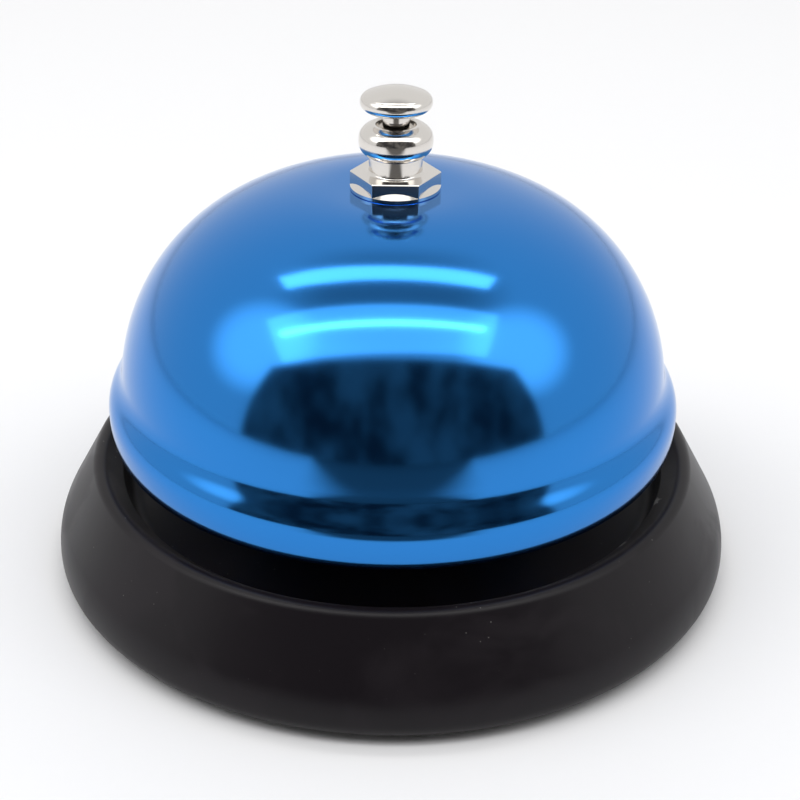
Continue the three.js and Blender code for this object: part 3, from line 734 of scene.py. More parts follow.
BLUE_LACQUER = Finish(
    name="blue_lacquer",
    colour=(0.003, 0.145, 0.500),
    tint=(0.004, 0.155, 0.520),
    metallic=1.0,
    roughness=0.045,
    smeared_roughness=0.075,
    smear_scale=38.0,
    coat=0.35,
    coat_roughness=0.02,
    grain_scale=260.0,
    grain_depth=1.2e-6,
    scratch_roughness=0.05,
    dust=0.004,
)
BLACK_ENAMEL = ChippedPaint(
    name="black_enamel",
    colour=(0.0070, 0.0052, 0.0072),
    tint=(0.0105, 0.0080, 0.0105),
    metallic=0.0,
    roughness=0.36,
    smeared_roughness=0.43,
    smear_scale=60.0,
    grain_scale=900.0,
    grain_depth=7e-6,
    wear=0.10,
    bare=(0.34, 0.33, 0.32),
    dust=0.006,
    specular=0.21,
    chips=((-20.0, 1.6 * MM), (-38.0, 1.4 * MM)),
    chip_radius=34.0 * MM,
    chip_height=12.6 * MM,
)
NICKEL_PLATE = Finish(
    name="nickel_plate",
    colour=(0.48, 0.435, 0.405),
    tint=(0.41, 0.365, 0.34),
    metallic=1.0,
    roughness=0.10,
    smeared_roughness=0.17,
    smear_scale=180.0,
    grain_scale=1800.0,
    grain_depth=1.0e-6,
    marks_scale=5200.0,
    marks_depth=1.2e-6,
    scratch_roughness=0.08,
    dust=0.004,
)
ZINC_PLATE = Finish(
    name="zinc_plate",
    colour=(0.50, 0.52, 0.53),
    tint=(0.38, 0.40, 0.43),
    metallic=1.0,
    roughness=0.34,
    smeared_roughness=0.48,
    smear_scale=210.0,
    grain_scale=1500.0,
    grain_depth=5e-6,
    wear=0.25,
    bare=(0.60, 0.60, 0.60),
    dust=0.03,
)
BRIGHT_STEEL = Finish(
    name="bright_steel",
    colour=(0.48, 0.48, 0.49),
    tint=(0.36, 0.35, 0.35),
    metallic=1.0,
    roughness=0.26,
    smeared_roughness=0.38,
    smear_scale=240.0,
    grain_scale=2200.0,
    grain_depth=3e-6,
    dust=0.02,
)
TURNED_BRASS = Finish(
    name="turned_brass",
    colour=(0.68, 0.46, 0.17),
    tint=(0.48, 0.30, 0.11),
    metallic=1.0,
    roughness=0.24,
    smeared_roughness=0.36,
    smear_scale=260.0,
    grain_scale=1900.0,
    grain_depth=2e-6,
    marks_scale=4200.0,
    marks_depth=4e-6,
    dust=0.02,
)
RED_FIBRE = Finish(
    name="red_fibre",
    colour=(0.20, 0.035, 0.022),
    tint=(0.26, 0.055, 0.035),
    metallic=0.0,
    roughness=0.70,
    smeared_roughness=0.84,
    smear_scale=300.0,
    grain_scale=2600.0,
    grain_depth=2.5e-5,
    dust=0.04,
)
FOOT_RUBBER = Finish(
    name="foot_rubber",
    colour=(0.014, 0.014, 0.015),
    tint=(0.022, 0.021, 0.021),
    metallic=0.0,
    roughness=0.72,
    smeared_roughness=0.88,
    smear_scale=120.0,
    grain_scale=2400.0,
    grain_depth=2e-5,
    dust=0.05,
)


# ---------------------------------------------------------------- the bell


@dataclass
class Base:
    """The drawn steel base and the rubber ring under its rim."""

    sheet: float = 1.0 * MM
    ridge_inset: float = 5.9 * MM
    crest_round: float = 1.25 * MM
    flare_round: float = 8.0 * MM
    flare_centre_height: float = 2.9 * MM
    rim_round: float = 2.2 * MM
    flange: float = 1.7 * MM
    dish_floor: float = 8.5 * MM
    wall_draft: float = 0.25
    floor_fillet: float = 2.0 * MM
    edge_inset: float = 8.5 * MM  # from the rim in to the edge round the dish
    edge_height: float = 12.5 * MM
    edge_round: float = 0.45 * MM
    boss_margin: float = 0.4 * MM
    boss_slope: float = 1.8 * MM
    boss_fillet: float = 0.8 * MM
    bracket_half_depth: float = 7.0 * MM
    ring_web: float = 0.9 * MM
    ring_upper_lip: float = 0.8 * MM
    ring_clearance: float = 0.05 * MM

    def __post_init__(self) -> None:
        """Takes the overall sizes from the frame."""
        low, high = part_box("base_shell")
        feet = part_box("mechanism_bracket")
        self.radius = high.x
        self.ridge_height = high.z
        self.rim_bottom = low.z
        self.boss_top = feet[0].z
        self.boss_radius = math.hypot(feet[1].y, self.bracket_half_depth) + self.boss_margin

    def face(self, edge_round: float) -> list[Point]:
        """The visible face, from the middle outwards, over the crest and under the rim.

        Args:
            edge_round: Fillet of the edge at which the dish meets the slope of the crest.

        Returns:
            The outline's points.
        """
        crest = Vector((self.radius - self.ridge_inset, self.ridge_height - self.crest_round))
        flare = Vector((self.radius - self.flare_round, self.flare_centre_height))
        between = crest - flare
        lean = math.asin((self.flare_round - self.crest_round) / between.length)
        lean -= math.atan2(between.x, between.y)
        edge = Vector((self.radius - self.edge_inset, self.edge_height))
        foot_x = edge.x - (edge.y - self.dish_floor) * math.tan(self.wall_draft)
        slope = crest - edge
        start = math.atan2(slope.y, slope.x) + math.asin(self.crest_round / slope.length) + math.pi / 2
        over = arc(tuple(crest), self.crest_round, start, lean, 16)
        dish = rounded(
            [
                (0.0, self.boss_top),
                (self.boss_radius, self.boss_top, self.boss_fillet),
                (self.boss_radius + self.boss_slope, self.dish_floor, self.boss_fillet),
                (foot_x, self.dish_floor, self.floor_fillet),
                (edge.x, edge.y, edge_round),
                over[0],
            ],
            steps=8,
            closed=False,
        )
        wall = arc(tuple(flare), self.flare_round, lean, 0.0, 20)
        rim_centre = (self.radius - self.rim_round, self.rim_bottom + self.rim_round)
        rim = arc(rim_centre, self.rim_round, 0.0, -math.pi / 2, 12)
        end = (self.radius - self.rim_round - self.flange, self.rim_bottom)
        return [*dish, *over[1:], *wall, *rim, end]

    def shell(self) -> bpy.types.Object:
        """The base, one sheet thick all over."""
        face = self.face(self.edge_round)
        under = offset(self.face(self.edge_round + self.sheet), -self.sheet)[::-1]
        under[-1] = (0.0, under[-1][1])
        return turned("base_pressing", [*face, *under], FINE)

    def foot(self) -> bpy.types.Object:
        """The rubber channel that is pressed over the flange.

        Returns:
            The ring.
        """
        flange_inner = self.radius - self.rim_round - self.flange
        web = flange_inner - self.ring_clearance
        inner = web - self.ring_web
        flange_top = self.rim_bottom + self.sheet + self.ring_clearance
        tip = flange_inner + self.flange / 2
        edge = 0.2 * MM
        section = rounded([
            (inner, 0.0, edge),
            (self.radius - self.rim_round, 0.0, edge),
            (self.radius - self.rim_round, self.rim_bottom, 0.0),
            (web, self.rim_bottom, 0.0),
            (web, flange_top, 0.0),
            (tip, flange_top, 0.0),
            (tip, flange_top + self.ring_upper_lip / 2, 0.0),
            (web, flange_top + self.ring_upper_lip, edge),
            (inner, flange_top + self.ring_upper_lip, edge),
        ])
        return turned("foot_channel", section, FINE)

    def build(self) -> None:
        """Builds and dresses the base and its foot."""
        fit(self.shell(), "base_shell", Body.HOUSING, BLACK_ENAMEL)
        fit(self.foot(), "foot_ring", Body.HOUSING, FOOT_RUBBER)


@dataclass
class Gong:
    """The polished gong: flat seat, crown, shoulder, waist and belled band."""

    sheet: float = 0.9 * MM
    seat_radius: float = 7.2 * MM
    hole_radius: float = 2.55 * MM
    crown_sweep: float = 0.5
    shoulder_sweep: float = 1.45
    waist_rise: float = 8.5 * MM
    waist_inset: float = 1.9 * MM
    band_rise: float = 3.4 * MM
    lip_tuck: float = 0.6 * MM
    lip_edge: float = 0.25 * MM

    def __post_init__(self) -> None:
        """Takes the overall sizes from the frame."""
        low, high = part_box("bell_dome")
        self.radius = high.x
        self.top = high.z
        self.lip = low.z

    def outside(self) -> list[Point]:
        """The outer face, from the hole to the lip.

        Returns:
            The outline's points.
        """
        across = self.radius - self.waist_inset - self.seat_radius
        down = self.top - self.lip - self.waist_rise
        crown_sin = math.sin(self.crown_sweep)
        shoulder_sin = math.sin(self.shoulder_sweep) - crown_sin
        crown_cos = 1 - math.cos(self.crown_sweep)
        shoulder_cos = math.cos(self.crown_sweep) - math.cos(self.shoulder_sweep)
        whole = crown_sin * shoulder_cos - shoulder_sin * crown_cos
        crown = (across * shoulder_cos - shoulder_sin * down) / whole
        shoulder = (crown_sin * down - crown_cos * across) / whole
        centre = (
            self.seat_radius + (crown - shoulder) * crown_sin,
            self.top - crown + (crown - shoulder) * math.cos(self.crown_sweep),
        )
        upright = math.pi / 2
        join = upright - self.crown_sweep
        wide = self.seat_radius - self.hole_radius
        seat = [(self.hole_radius + wide * i / 4, self.top) for i in range(4)]
        over = arc((self.seat_radius, self.top - crown), crown, upright, join, 18)
        side = arc(centre, shoulder, join, upright - self.shoulder_sweep, 40)[1:]
        waist = side[-1]
        widest = (self.radius, self.lip + self.band_rise)
        reach = (waist[1] - widest[1]) / 2
        lean = (math.cos(self.shoulder_sweep), -math.sin(self.shoulder_sweep))
        leave = (waist[0] + lean[0] * reach, waist[1] + lean[1] * reach)
        flare = bezier([waist, leave, (widest[0], widest[1] + reach), widest], 20)[1:]
        edge = (self.radius - self.lip_tuck, self.lip)
        tuck = bezier([widest, (self.radius, self.lip + self.band_rise / 3), edge], 8)[1:]
        return [*seat, *over, *side, *flare, *tuck]

    def build(self) -> None:
        """Builds and dresses the gong."""
        outside = self.outside()
        inside = offset(outside, -self.sheet)[::-1]
        corners: list[Corner] = [(x, y, 0.0) for x, y in [*outside, *inside]]
        for i in (len(outside) - 1, len(outside)):
            corners[i] = (*corners[i][:2], self.lip_edge)
        gong = turned("gong", rounded(corners), FINE)
        fit(gong, "bell_dome", Body.HOUSING, BLUE_LACQUER)


@dataclass
class Finial:
    """The turned nut that clamps the gong: hexagon, neck and bead in one piece."""

    across_flats: float = 9.3 * MM
    thickness: float = 2.1 * MM
    flange_side: float = 0.45 * MM  # upright edge of the round flange under the hexagon
    flange_slope: float = 0.55 * MM  # height over which the flange runs into the flats
    corner_round: float = 0.16 * MM
    neck_radius: float = 3.14 * MM
    neck_fillet: float = 0.35 * MM
    bead_radius: float = 4.36 * MM
    bead_half_height: float = 2.27 * MM
    bead_fullness: float = 2.6  # 2 is an ellipse, more is fuller
    land_radius: float = 2.85 * MM
    land_round: float = 0.22 * MM
    pocket_radius: float = 2.35 * MM
    pocket_depth: float = 0.8 * MM
    thread_radius: float = 2.55 * MM
    thread_length: float = 3.95 * MM
    stem_hole: float = 1.65 * MM
    near_corner: tuple[float, ...] = (0.0, 0.4, 0.8, 1.25, 1.8, 2.6, 4.0, 7.0, 11.0, 16.0, 20.5, 25.0)

    def angles(self) -> list[float]:
        """Angles round the hexagon, close together at its corners."""
        half = [math.radians(a) for a in self.near_corner]
        sixth = math.pi / 3
        one = [*half, math.pi / 6, *[sixth - a for a in reversed(half[1:])]]
        return [sixth * side + a for side in range(6) for a in one]

    def reach(self, angle: float) -> float:
        """Distance from the axis to the hexagon's wall.

        Args:
            angle: Angle about the axis, 0 at a corner.

        Returns:
            The distance, with the corner a little rounded.
        """
        from_corner = abs(math.remainder(angle, math.pi / 3))
        flat = self.across_flats / 2 / math.cos(math.pi / 6 - from_corner)
        centre = (self.across_flats / 2 - self.corner_round) / math.cos(math.pi / 6)
        inside = self.corner_round**2 - (centre * math.sin(from_corner)) ** 2
        if inside <= 0:
            return flat
        return min(flat, centre * math.cos(from_corner) + math.sqrt(inside))

    def build(self) -> None:
        """Builds and dresses the nut."""
        low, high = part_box("finial_nut")
        seat, land = low.z, high.z
        shoulder = seat + self.thickness
        angles = self.angles()
        corner = self.across_flats / math.sqrt(3)
        flange = max(self.reach(0.0), corner - self.corner_round)
        slope = self.flange_slope / (flange - self.across_flats / 2)
        edge = 0.09 * MM

        def ring(radius: float, height: float) -> list[Vector]:
            """A round ring of the nut."""
            return [Vector((radius * math.cos(a), radius * math.sin(a), height)) for a in angles]

        def wall(inset: float, height: float) -> list[Vector]:
            """A ring on the hexagon's wall."""
            reaches = [self.reach(a) - inset for a in angles]
            return [Vector((r * math.cos(a), r * math.sin(a), height)) for r, a in zip(reaches, angles)]

        def meeting() -> list[Vector]:
            """The ring at which the flange's slope meets the flats.

            Returns:
                The ring's points.
            """
            made = []
            for a in angles:
                radius = self.reach(a)
                height = seat + self.flange_side + (flange - radius) * slope
                made.append(Vector((radius * math.cos(a), radius * math.sin(a), height)))
            return made

        power = self.bead_fullness
        share = 1 - (self.land_radius / self.bead_radius) ** power
        bead_centre = land - self.bead_half_height * share ** (1 / power)
        at_neck = -math.acos((self.neck_radius / self.bead_radius) ** (power / 2))
        at_land = math.acos((self.land_radius / self.bead_radius) ** (power / 2))
        bead = [
            (
                self.bead_radius * abs(x) ** (2 / power),
                bead_centre + self.bead_half_height * math.copysign(abs(y) ** (2 / power), y),
            )
            for x, y in arc((0.0, 0.0), 1.0, at_neck, at_land, 40)
        ]
        upper = rounded(
            [
                (corner * 0.8, shoulder),
                (self.neck_radius, shoulder, self.neck_fillet),
                *bead[:-1],
                (*bead[-1], self.land_round * 0.4),
                (self.pocket_radius, land, self.land_round * 0.6),
                (self.pocket_radius, land - self.pocket_depth),
                (self.stem_hole, land - self.pocket_depth),
                (self.stem_hole, seat + self.thread_length),
                (self.thread_radius, seat + self.thread_length),
                (self.thread_radius, seat),
            ],
            closed=False,
        )
        rings = [ring(flange - edge, seat), ring(flange, seat + edge)]
        rings += [ring(flange + 1e-6, seat + self.flange_side), meeting()]
        rings += [wall(0.0, shoulder - edge), wall(edge, shoulder)]
        rings += [ring(r, z) for r, z in upper]
        nut = skin("finial", rings)
        fit(nut, "finial_nut", Body.HOUSING, NICKEL_PLATE)


@dataclass
class Plunger:
    """What the finger moves: the mushroom button, its stem and the collar on it."""

    rim_round: float = 0.95 * MM
    rim_turn: float = 1.1
    dome_rise: float = 1.65 * MM
    boss_radius: float = 2.0 * MM
    boss_side: float = 0.3 * MM
    socket_depth: float = 2.2 * MM
    socket_radius: float = 1.17 * MM
    fit_gap: float = 0.02 * MM
    edge: float = 0.3 * MM

    def cap(self) -> bpy.types.Object:
        """The mushroom button.

        Returns:
            The button.
        """
        low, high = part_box("push_button")
        centre = high.x - self.rim_round
        rim_height = high.z - self.dome_rise
        rise = self.dome_rise - self.rim_round
        sphere = (centre**2 + rise**2) / (2 * rise)
        edge = math.asin(centre / sphere)
        upright = math.pi / 2
        rim = arc((centre, rim_height), self.rim_round, -self.rim_turn, upright - edge, 14)
        crown = sphere + self.rim_round
        top = arc((0.0, high.z - crown), crown, upright - edge, upright, 24)[1:]
        top[-1] = (0.0, high.z)
        body = rounded(
            [
                (0.0, low.z + self.socket_depth),
                (self.socket_radius, low.z + self.socket_depth),
                (self.socket_radius, low.z),
                (self.boss_radius, low.z, self.edge / 3),
                (self.boss_radius, low.z + self.boss_side, self.edge / 3),
                rim[0],
            ],
            closed=False,
        )
        return turned("button_cap", [*body[:-1], *rim, *top])

    def stem(self) -> bpy.types.Object:
        """The stem, with a spigot that is pressed into the button.

        Returns:
            The stem.
        """
        low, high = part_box("plunger_rod")
        spigot = self.socket_radius - self.fit_gap
        shoulder = high.z - self.socket_depth
        section = rounded(
            [
                (0.0, low.z),
                (high.x, low.z, self.edge),
                (high.x, shoulder),
                (spigot, shoulder),
                (spigot, high.z),
                (0.0, high.z),
            ],
            closed=False,
        )
        return turned("button_stem", section)

    def collar(self) -> bpy.types.Object:
        """The ring that is pressed on the stem.

        Returns:
            The collar.
        """
        low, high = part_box("plunger_collar")
        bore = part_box("plunger_rod")[1].x + self.fit_gap
        round_off = self.edge / 3
        section = rounded([
            (bore, low.z, 0.0),
            (high.x, low.z, round_off),
            (high.x, high.z, round_off),
            (bore, high.z, 0.0),
        ])
        return turned("stem_collar", section)

    def build(self) -> None:
        """Builds and dresses the moving pieces of the button."""
        fit(self.cap(), "push_button", Body.PLUNGER, NICKEL_PLATE)
        fit(self.stem(), "plunger_rod", Body.PLUNGER, NICKEL_PLATE)
        fit(self.collar(), "plunger_collar", Body.PLUNGER, BRIGHT_STEEL)


@dataclass
class Post:
    """The hollow post that carries the gong, with its fixings, bush and spring."""

    flange_thickness: float = 1.1 * MM
    body_radius: float = 4.2 * MM
    stud_radius: float = 2.5 * MM
    spigot_radius: float = 3.5 * MM
    chamber_radius: float = 2.75 * MM
    web: float = 1.8 * MM
    stem_hole: float = 1.65 * MM
    thread_gap: float = 0.05 * MM
    fit_gap: float = 0.02 * MM
    edge: float = 0.12 * MM
    chamfer: float = 0.5 * MM
    wire: float = 0.4 * MM
    turns: int = 5
    end_pitch: float = 0.5 * MM

    def __post_init__(self) -> None:
        """Takes the heights from the frame."""
        self.low, self.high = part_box("center_post")
        self.plate_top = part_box("mechanism_bracket")[1].z
        self.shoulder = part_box("seat_washer")[0].z

    def post(self) -> bpy.types.Object:
        """The turned post.

        Returns:
            The post.
        """
        edge, flange = self.edge, self.high.x
        section = rounded([
            (self.stem_hole, self.high.z, 0.0),
            (self.stem_hole, self.shoulder - self.web, 0.0),
            (self.chamber_radius, self.shoulder - self.web, 0.0),
            (self.chamber_radius, self.low.z, 0.0),
            (self.spigot_radius, self.low.z, edge),
            (self.spigot_radius, self.plate_top, 0.0),
            (flange, self.plate_top, edge),
            (flange, self.plate_top + self.flange_thickness, edge),
            (self.body_radius, self.plate_top + self.flange_thickness, edge),
            (self.body_radius, self.shoulder - self.flange_thickness, edge),
            (flange, self.shoulder - self.flange_thickness, edge),
            (flange, self.shoulder, edge),
            (self.stud_radius, self.shoulder, 0.0),
            (self.stud_radius, self.high.z - self.chamfer, 0.0),
            (self.stud_radius - self.chamfer, self.high.z, 0.0),
        ])
        return turned("gong_post", section)

    def washer(self) -> bpy.types.Object:
        """The fibre washer under the gong.

        Returns:
            The washer.
        """
        low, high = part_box("seat_washer")
        bore = self.stud_radius + self.thread_gap
        section = rounded([
            (bore, low.z, 0.0),
            (high.x, low.z, self.edge),
            (high.x, high.z, self.edge),
            (bore, high.z, 0.0),
        ])
        return turned("fibre_washer", section)

    def bush(self) -> bpy.types.Object:
        """The brass bush that guides the stem.

        Returns:
            The bush.
        """
        low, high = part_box("guide_bush")
        barrel = self.chamber_radius - self.fit_gap
        section = rounded([
            (self.stem_hole, low.z, self.edge),
            (high.x, low.z, self.edge),
            (high.x, self.low.z, self.edge),
            (barrel, self.low.z, 0.0),
            (barrel, high.z, self.edge),
            (self.stem_hole, high.z, self.edge),
        ])
        return turned("stem_bush", section)

    def spring(self) -> bpy.types.Object:
        """The return spring: a round wire wound with a closed turn at each end.

        Returns:
            The spring.
        """
        low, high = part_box("return_spring")
        radius = high.x - self.wire / 2
        bottom, top = low.z + self.wire / 2, high.z - self.wire / 2
        open_pitch = (top - bottom - 2 * self.end_pitch) / (self.turns - 2)
        per_turn, round_wire = 48, 12
        middle = []
        for i in range(self.turns * per_turn + 1):
            turn = i / per_turn
            ends = min(turn, 1) + max(turn - self.turns + 1, 0)
            height = bottom + self.end_pitch * ends
            height += open_pitch * min(max(turn - 1, 0), self.turns - 2)
            angle = math.tau * turn
            middle.append(Vector((radius * math.cos(angle), radius * math.sin(angle), height)))
        rings = []
        for i, here in enumerate(middle):
            along = (middle[min(i + 1, len(middle) - 1)] - middle[max(i - 1, 0)]).normalized()
            outward = Vector((here.x, here.y, 0)).normalized()
            across = along.cross(outward).normalized()
            outward = across.cross(along)
            spokes = [math.tau * k / round_wire for k in range(round_wire)]
            rings.append([
                here + (outward * math.cos(a) + across * math.sin(a)) * self.wire / 2 for a in spokes
            ])
        return skin("coil_spring", rings, closed=False)

    def build(self) -> None:
        """Builds and dresses the post, its fixings and the spring."""
        fit(self.post(), "center_post", Body.HOUSING, NICKEL_PLATE)
        fit(self.washer(), "seat_washer", Body.HOUSING, RED_FIBRE)
        fit(self.bush(), "guide_bush", Body.HOUSING, TURNED_BRASS)
        spring = self.spring()
        fit(spring, "return_spring", Body.HOUSING, BRIGHT_STEEL)
        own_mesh(spring)


@dataclass
class Bracket:
    """The bent bracket with its rivets, lock washer and nut."""

    sheet: float = 1.2 * MM
    rivet_radius: float = 1.5 * MM
    tail_radius: float = 2.4 * MM
    tail_height: float = 1.0 * MM
    head_height: float = 1.3 * MM
    chamfer: float = 0.5 * MM
    edge: float = 0.12 * MM

    def rivet(self, name: str, node: str) -> None:
        """Builds one rivet with a domed head and a formed tail.

        Args:
            name: Name of the piece.
            node: The node that it stands for.
        """
        low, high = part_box(node)
        middle = (low + high) / 2
        head_radius = (high.x - low.x) / 2
        foot_top = high.z - self.head_height
        under = low.z + self.tail_height
        sphere = (head_radius**2 + self.head_height**2) / (2 * self.head_height)
        edge = math.asin(head_radius / sphere)
        upright = math.pi / 2
        head = arc((0.0, high.z - sphere), sphere, upright - edge, upright, 14)
        head[-1] = (0.0, high.z)
        section = [
            *rounded(
                [
                    (0.0, low.z),
                    (self.tail_radius - self.chamfer, low.z, self.edge),
                    (self.tail_radius, low.z + self.chamfer, self.edge),
                    (self.tail_radius, under, self.edge),
                    (self.rivet_radius, under),
                    (self.rivet_radius, foot_top),
                ],
                closed=False,
            ),
            *head,
        ]
        rivet = turned(name, section, place=Matrix.Translation((middle.x, middle.y, 0)))
        fit(rivet, node, Body.HOUSING, BRIGHT_STEEL)

    def build(self) -> None:
        """Dresses the bent and stamped pieces, and builds the rivets."""
        dressed = {"mechanism_bracket": ZINC_PLATE, "post_lock_washer": BRIGHT_STEEL, "post_nut": ZINC_PLATE}
        for node, finish in dressed.items():
            piece = frame["nodes"][node]
            for polygon in piece.data.polygons:
                polygon.use_smooth = True
            piece.data.set_sharp_from_angle(angle=math.radians(50))
            soften(piece, self.edge, math.radians(55))
            dress(piece, finish)
            log.info("%s is dressed as %s", node, finish.name)
        self.rivet("front_rivet", "bracket_rivet_front")
        self.rivet("back_rivet", "bracket_rivet_back")


@dataclass
class Striker:
    """The striker: its stamped arm, its turned head, and the pin and clip it swings on."""

    edge: float = 0.12 * MM
    pin_radius: float = 1.2 * MM
    pin_head_radius: float = 2.2 * MM
    pin_head_thickness: float = 0.9 * MM
    groove_radius: float = 0.85 * MM
    groove_width: float = 0.7 * MM
    tail: float = 0.8 * MM
    chamfer: float = 0.3 * MM
    head_radius: float = 3.5 * MM
    head_length: float = 5.6 * MM
    head_crown: float = 0.7 * MM
    spigot_radius: float = 1.4 * MM
    peen_length: float = 0.7 * MM
    peen_spread: float = 0.7 * MM
    arm_sheet: float = 1.2 * MM
    strike_lean: float = 0.27  # slope of the head's axis when it meets the gong, in radians

    def pin(self) -> bpy.types.Object:
        """The headed pin, with the groove for its clip.

        Returns:
            The pin.
        """
        low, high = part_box("pivot_pin")
        axis_x, axis_z = (low.x + high.x) / 2, (low.z + high.z) / 2
        head = low.y + self.pin_head_thickness
        groove_end = high.y - self.tail
        groove = groove_end - self.groove_width
        section = rounded(
            [
                (0.0, low.y),
                (self.pin_head_radius - self.chamfer, low.y, self.edge),
                (self.pin_head_radius, low.y + self.chamfer, self.edge),
                (self.pin_head_radius, head, self.edge),
                (self.pin_radius, head),
                (self.pin_radius, groove),
                (self.groove_radius, groove),
                (self.groove_radius, groove_end),
                (self.pin_radius, groove_end),
                (self.pin_radius, high.y - self.chamfer),
                (self.pin_radius - self.chamfer, high.y),
                (0.0, high.y),
            ],
            closed=False,
        )
        along_y = Matrix.Rotation(-math.pi / 2, 4, "X")
        return turned("striker_pin", section, place=Matrix.Translation((axis_x, 0, axis_z)) @ along_y)

    def head(self) -> bpy.types.Object:
        """The turned weight, with a crowned face and a peened spigot.

        Returns:
            The weight.
        """
        swing = next(joint for joint in frame["joints"] if joint["name"] == "striker_swing")
        lean = self.strike_lean - math.radians(swing["range_deg"][1])
        low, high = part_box("striker_head")
        sphere = (self.head_radius**2 + self.head_crown**2) / (2 * self.head_crown)
        edge = math.asin(self.head_radius / sphere)
        upright = math.pi / 2
        face = arc((0.0, -sphere), sphere, upright - edge, upright, 16)
        face[-1] = (0.0, 0.0)
        back = -self.head_length - self.arm_sheet
        peen = self.spigot_radius + self.peen_spread
        section = [
            *rounded(
                [
                    (0.0, back - self.peen_length),
                    (peen - self.chamfer, back - self.peen_length, self.edge),
                    (peen, back, self.edge),
                    (self.spigot_radius, back),
                    (self.spigot_radius, -self.head_length),
                    (self.head_radius - self.chamfer, -self.head_length, self.edge),
                    (self.head_radius, -self.head_length + self.chamfer, self.edge),
                ],
                closed=False,
            ),
            *face,
        ]
        head = turned("striker_weight", section)
        head.data.transform(Matrix.Rotation(math.pi / 2 - lean, 4, "Y"))
        heights = [v.co.z for v in head.data.vertices]
        reach = max(v.co.x for v in head.data.vertices)
        middle = (max(heights) + min(heights)) / 2
        shift = Vector((high.x - reach, 0, (low.z + high.z) / 2 - middle))
        head.data.transform(Matrix.Translation(shift))
        return head

    def build(self) -> None:
        """Builds and dresses the striker and its pivot."""
        fit(self.head(), "striker_head", Body.STRIKER, TURNED_BRASS)
        fit(self.pin(), "pivot_pin", Body.HOUSING, BRIGHT_STEEL)
        for node, finish in {"striker_arm": ZINC_PLATE, "pin_clip": BRIGHT_STEEL}.items():
            piece = frame["nodes"][node]
            for polygon in piece.data.polygons:
                polygon.use_smooth = True
            piece.data.set_sharp_from_angle(angle=math.radians(40))
            soften(piece, self.edge, math.radians(55))
            dress(piece, finish)
            log.info("%s is dressed as %s", node, finish.name)


# ---------------------------------------------------------------- the studio


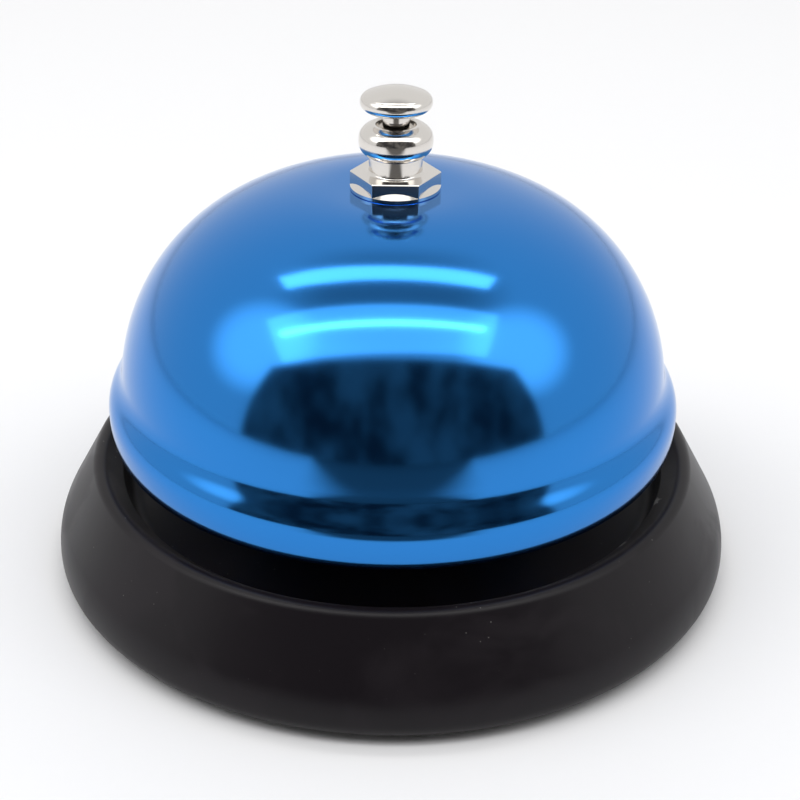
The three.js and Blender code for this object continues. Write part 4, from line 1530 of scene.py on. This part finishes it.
@dataclass
class Studio:
    """Pale floor, soft light and camera."""

    distance: float = 0.180
    height: float = 0.119
    pitch: float = 28.82
    yaw: float = -0.28
    roll: float = 0.78
    focal: float = 73.5
    floor_half: float = 4.0
    floor_colour: Colour = (0.86, 0.86, 0.87)
    painted_shade_in_reflection: Colour = (0.10, 0.095, 0.09)  # painted shade on the floor in front, seen only in reflections on polished metal
    foreground: float = 0.088  # from the axis forward to where the painted shade begins
    foreground_spread: float = 0.6  # half of its width for each unit beyond that
    foreground_edges: tuple[float, float] = (0.03, 0.06)  # softness at the front and the sides
    surround: Colour = (1.0, 1.0, 1.0)
    shade: Colour = (0.03, 0.03, 0.035)  # the dim room behind the camera
    half_shade: Colour = (0.20, 0.19, 0.18)
    shade_height: float = 1.6  # rise of its upper edge for each unit ahead
    shade_width: float = 1.95  # half of its width for each unit ahead
    shade_edge: float = 0.10
    zenith: tuple[float, float] = (0.78, 0.97)  # rise over which the ceiling grows dimmer
    zenith_share: float = 0.42
    glow_edge: tuple[float, float] = (0.90, 0.985)
    room_strength: float = 0.85
    glow: float = 2.3  # of the two soft lights at the sides
    glow_headings: tuple[tuple[float, float, float], ...] = ((-0.745, -0.20, 0.636), (0.713, -0.245, 0.657))
    lights: list[bpy.types.Object] = field(default_factory=list)

    def camera(self) -> None:
        """Makes the camera, level with the eye of someone at the counter."""
        data = bpy.data.cameras.new("camera")
        data.lens = self.focal
        data.sensor_width = 36.0
        data.clip_start, data.clip_end = 0.01, 20.0
        camera = bpy.data.objects.new("camera", data)
        bpy.context.scene.collection.objects.link(camera)
        tilt = Matrix.Rotation(math.radians(90 - self.pitch), 4, "X")
        turn = Matrix.Rotation(math.radians(self.yaw), 4, "Z")
        lean = Matrix.Rotation(math.radians(self.roll), 4, "Z")
        camera.matrix_world = Matrix.Translation((0, -self.distance, self.height)) @ turn @ tilt @ lean
        bpy.context.scene.camera = camera

    def floor(self) -> None:
        """Makes the pale floor, with painted shade in front that only reflections show."""
        half, rows = self.floor_half, 8
        step = 2 * half / rows
        work = bmesh.new()
        grid = [
            [work.verts.new((-half + step * i, -half + step * j, 0)) for j in range(rows + 1)]
            for i in range(rows + 1)
        ]
        for i in range(rows):
            for j in range(rows):
                work.faces.new((grid[i][j], grid[i + 1][j], grid[i + 1][j + 1], grid[i][j + 1]))
        floor = finish_mesh("floor", work, math.radians(30))
        material = bpy.data.materials.new("floor_paper")
        material.use_nodes = True
        material.node_tree.nodes.clear()
        w = Wiring(material.node_tree)
        place = w.add("TexCoord").outputs["Object"]
        fibres = effects.grain.place(w, "Height", Vector=place, Scale=900.0)
        deeper = tuple(c * 0.985 for c in self.floor_colour)
        colour = w.blend(fibres, (*self.floor_colour, 1), (*deeper, 1))
        # painted shade: the floor in front of the bell turns dark for glossy rays only, so polished metal
        # reflects a dim room there; the camera still sees a pale floor
        parts = w.add("SeparateXYZ", None, Vector=place)
        ahead = w.math("SUBTRACT", w.math("MULTIPLY", parts.outputs[1], -1.0), self.foreground)
        aside = w.math("ABSOLUTE", parts.outputs[0])
        within = w.math("SUBTRACT", w.math("MULTIPLY", ahead, self.foreground_spread), aside)
        front, side = self.foreground_edges
        dim = w.math("MULTIPLY", w.ramp(ahead, 0.0, front), w.ramp(within, -side, 0.0))
        painted_shade_share = w.math("MULTIPLY", dim, w.add("LightPath").outputs["Is Glossy Ray"])
        colour = w.blend(painted_shade_share, colour, (*self.painted_shade_in_reflection, 1))
        bump = w.add("Bump", None, Strength=0.3, Distance=1e-5, Height=fibres)
        shader = w.add("BsdfPrincipled", None, Base_Color=colour, Roughness=0.75, Normal=bump.outputs[0])
        out = w.add("OutputMaterial")
        w.tree.links.new(shader.outputs[0], out.inputs[0])
        floor.data.materials.append(material)

    def world(self) -> None:
        """Makes the pale room, which is dim behind the camera."""
        world = bpy.data.worlds.new("studio")
        world.use_nodes = True
        world.node_tree.nodes.clear()
        bpy.context.scene.world = world
        w = Wiring(world.node_tree)
        heading = w.add("TexCoord").outputs["Generated"]
        parts = w.add("SeparateXYZ", None, Vector=heading)
        ahead = w.math("MULTIPLY", parts.outputs[1], -1.0)
        below = w.math("SUBTRACT", w.math("MULTIPLY", ahead, self.shade_height), parts.outputs[2])
        sideways = w.math("ABSOLUTE", parts.outputs[0])
        within = w.math("SUBTRACT", w.math("MULTIPLY", ahead, self.shade_width), sideways)
        share = w.ramp(w.math("MINIMUM", below, within), 0.0, self.shade_edge)
        stretched = w.vector("MULTIPLY", heading, (2.4, 1.0, 0.8))
        uneven = w.add("TexNoise", None, Vector=stretched, Scale=2.6, Detail=2.0)
        depth = w.ramp(uneven.outputs[0], 0.35, 0.7)
        dim = w.blend(depth, (*self.shade, 1), (*self.half_shade, 1))
        zenith = w.ramp(parts.outputs[2], *self.zenith)
        pale = w.blend(zenith, (*self.surround, 1), (*(c * self.zenith_share for c in self.surround), 1))
        for aimed in self.glow_headings:
            near = w.add("VectorMath", {"operation": "DOT_PRODUCT"}, i0=heading, i1=aimed).outputs["Value"]
            pale = w.blend(w.ramp(near, *self.glow_edge), pale, (self.glow, self.glow, self.glow, 1))
        colour = w.blend(share, pale, dim)
        room = w.add("Background", None, Color=colour, Strength=self.room_strength)
        plain = w.add("Background", None, Color=(*self.surround, 1), Strength=1.0)
        seen = w.add("LightPath").outputs["Is Camera Ray"]
        mix = w.add("MixShader", None, i0=seen)
        w.tree.links.new(room.outputs[0], mix.inputs[1])
        w.tree.links.new(plain.outputs[0], mix.inputs[2])
        out = w.add("OutputWorld")
        w.tree.links.new(mix.outputs[0], out.inputs[0])

    def light(self, name: str, place: Vector, size: Point, power: float, aim: Vector) -> None:
        """Makes one soft light.

        Args:
            name: Name of the light.
            place: Where it hangs.
            size: Width and height of its face.
            power: Power in watts.
            aim: What it points at.
        """
        data = bpy.data.lights.new(name, "AREA")
        data.shape = "RECTANGLE"
        data.size, data.size_y = size
        data.energy = power
        light = bpy.data.objects.new(name, data)
        bpy.context.scene.collection.objects.link(light)
        back = (place - aim).normalized()
        across = Vector((0, 1, 0)).cross(back).normalized()
        axes = Matrix((across, back.cross(across), back)).transposed()
        light.matrix_world = Matrix.Translation(place) @ axes.to_4x4()
        self.lights.append(light)

    def build(self) -> None:
        """Builds the whole studio."""
        self.camera()
        self.floor()
        self.world()
        middle = Vector((0, 0, 0.03))
        for name, place, size, power in (
            ("tube_over", (-0.03, 0.22, 0.80), (0.85, 0.12), 1.1),
            ("panel_front", (-0.06, -0.25, 0.82), (1.30, 0.42), 2.6),
            ("tube_front", (-0.06, -0.20, 0.80), (1.10, 0.05), 1.0),
        ):
            self.light(name, Vector(place), size, power, middle)
        scene = bpy.context.scene
        scene.view_settings.view_transform = "Standard"
        log.info("studio with %d lights", len(self.lights))


def main() -> None:
    """Builds the studio and the bell, from the base up."""
    logging.basicConfig(level=logging.INFO, format="%(name)s: %(message)s")
    Studio().build()
    for part in (Base(), Bracket(), Striker(), Post(), Gong(), Finial(), Plunger()):
        part.build()
        log.info("%s is built", type(part).__name__)


if __name__ == "__main__":
    main()
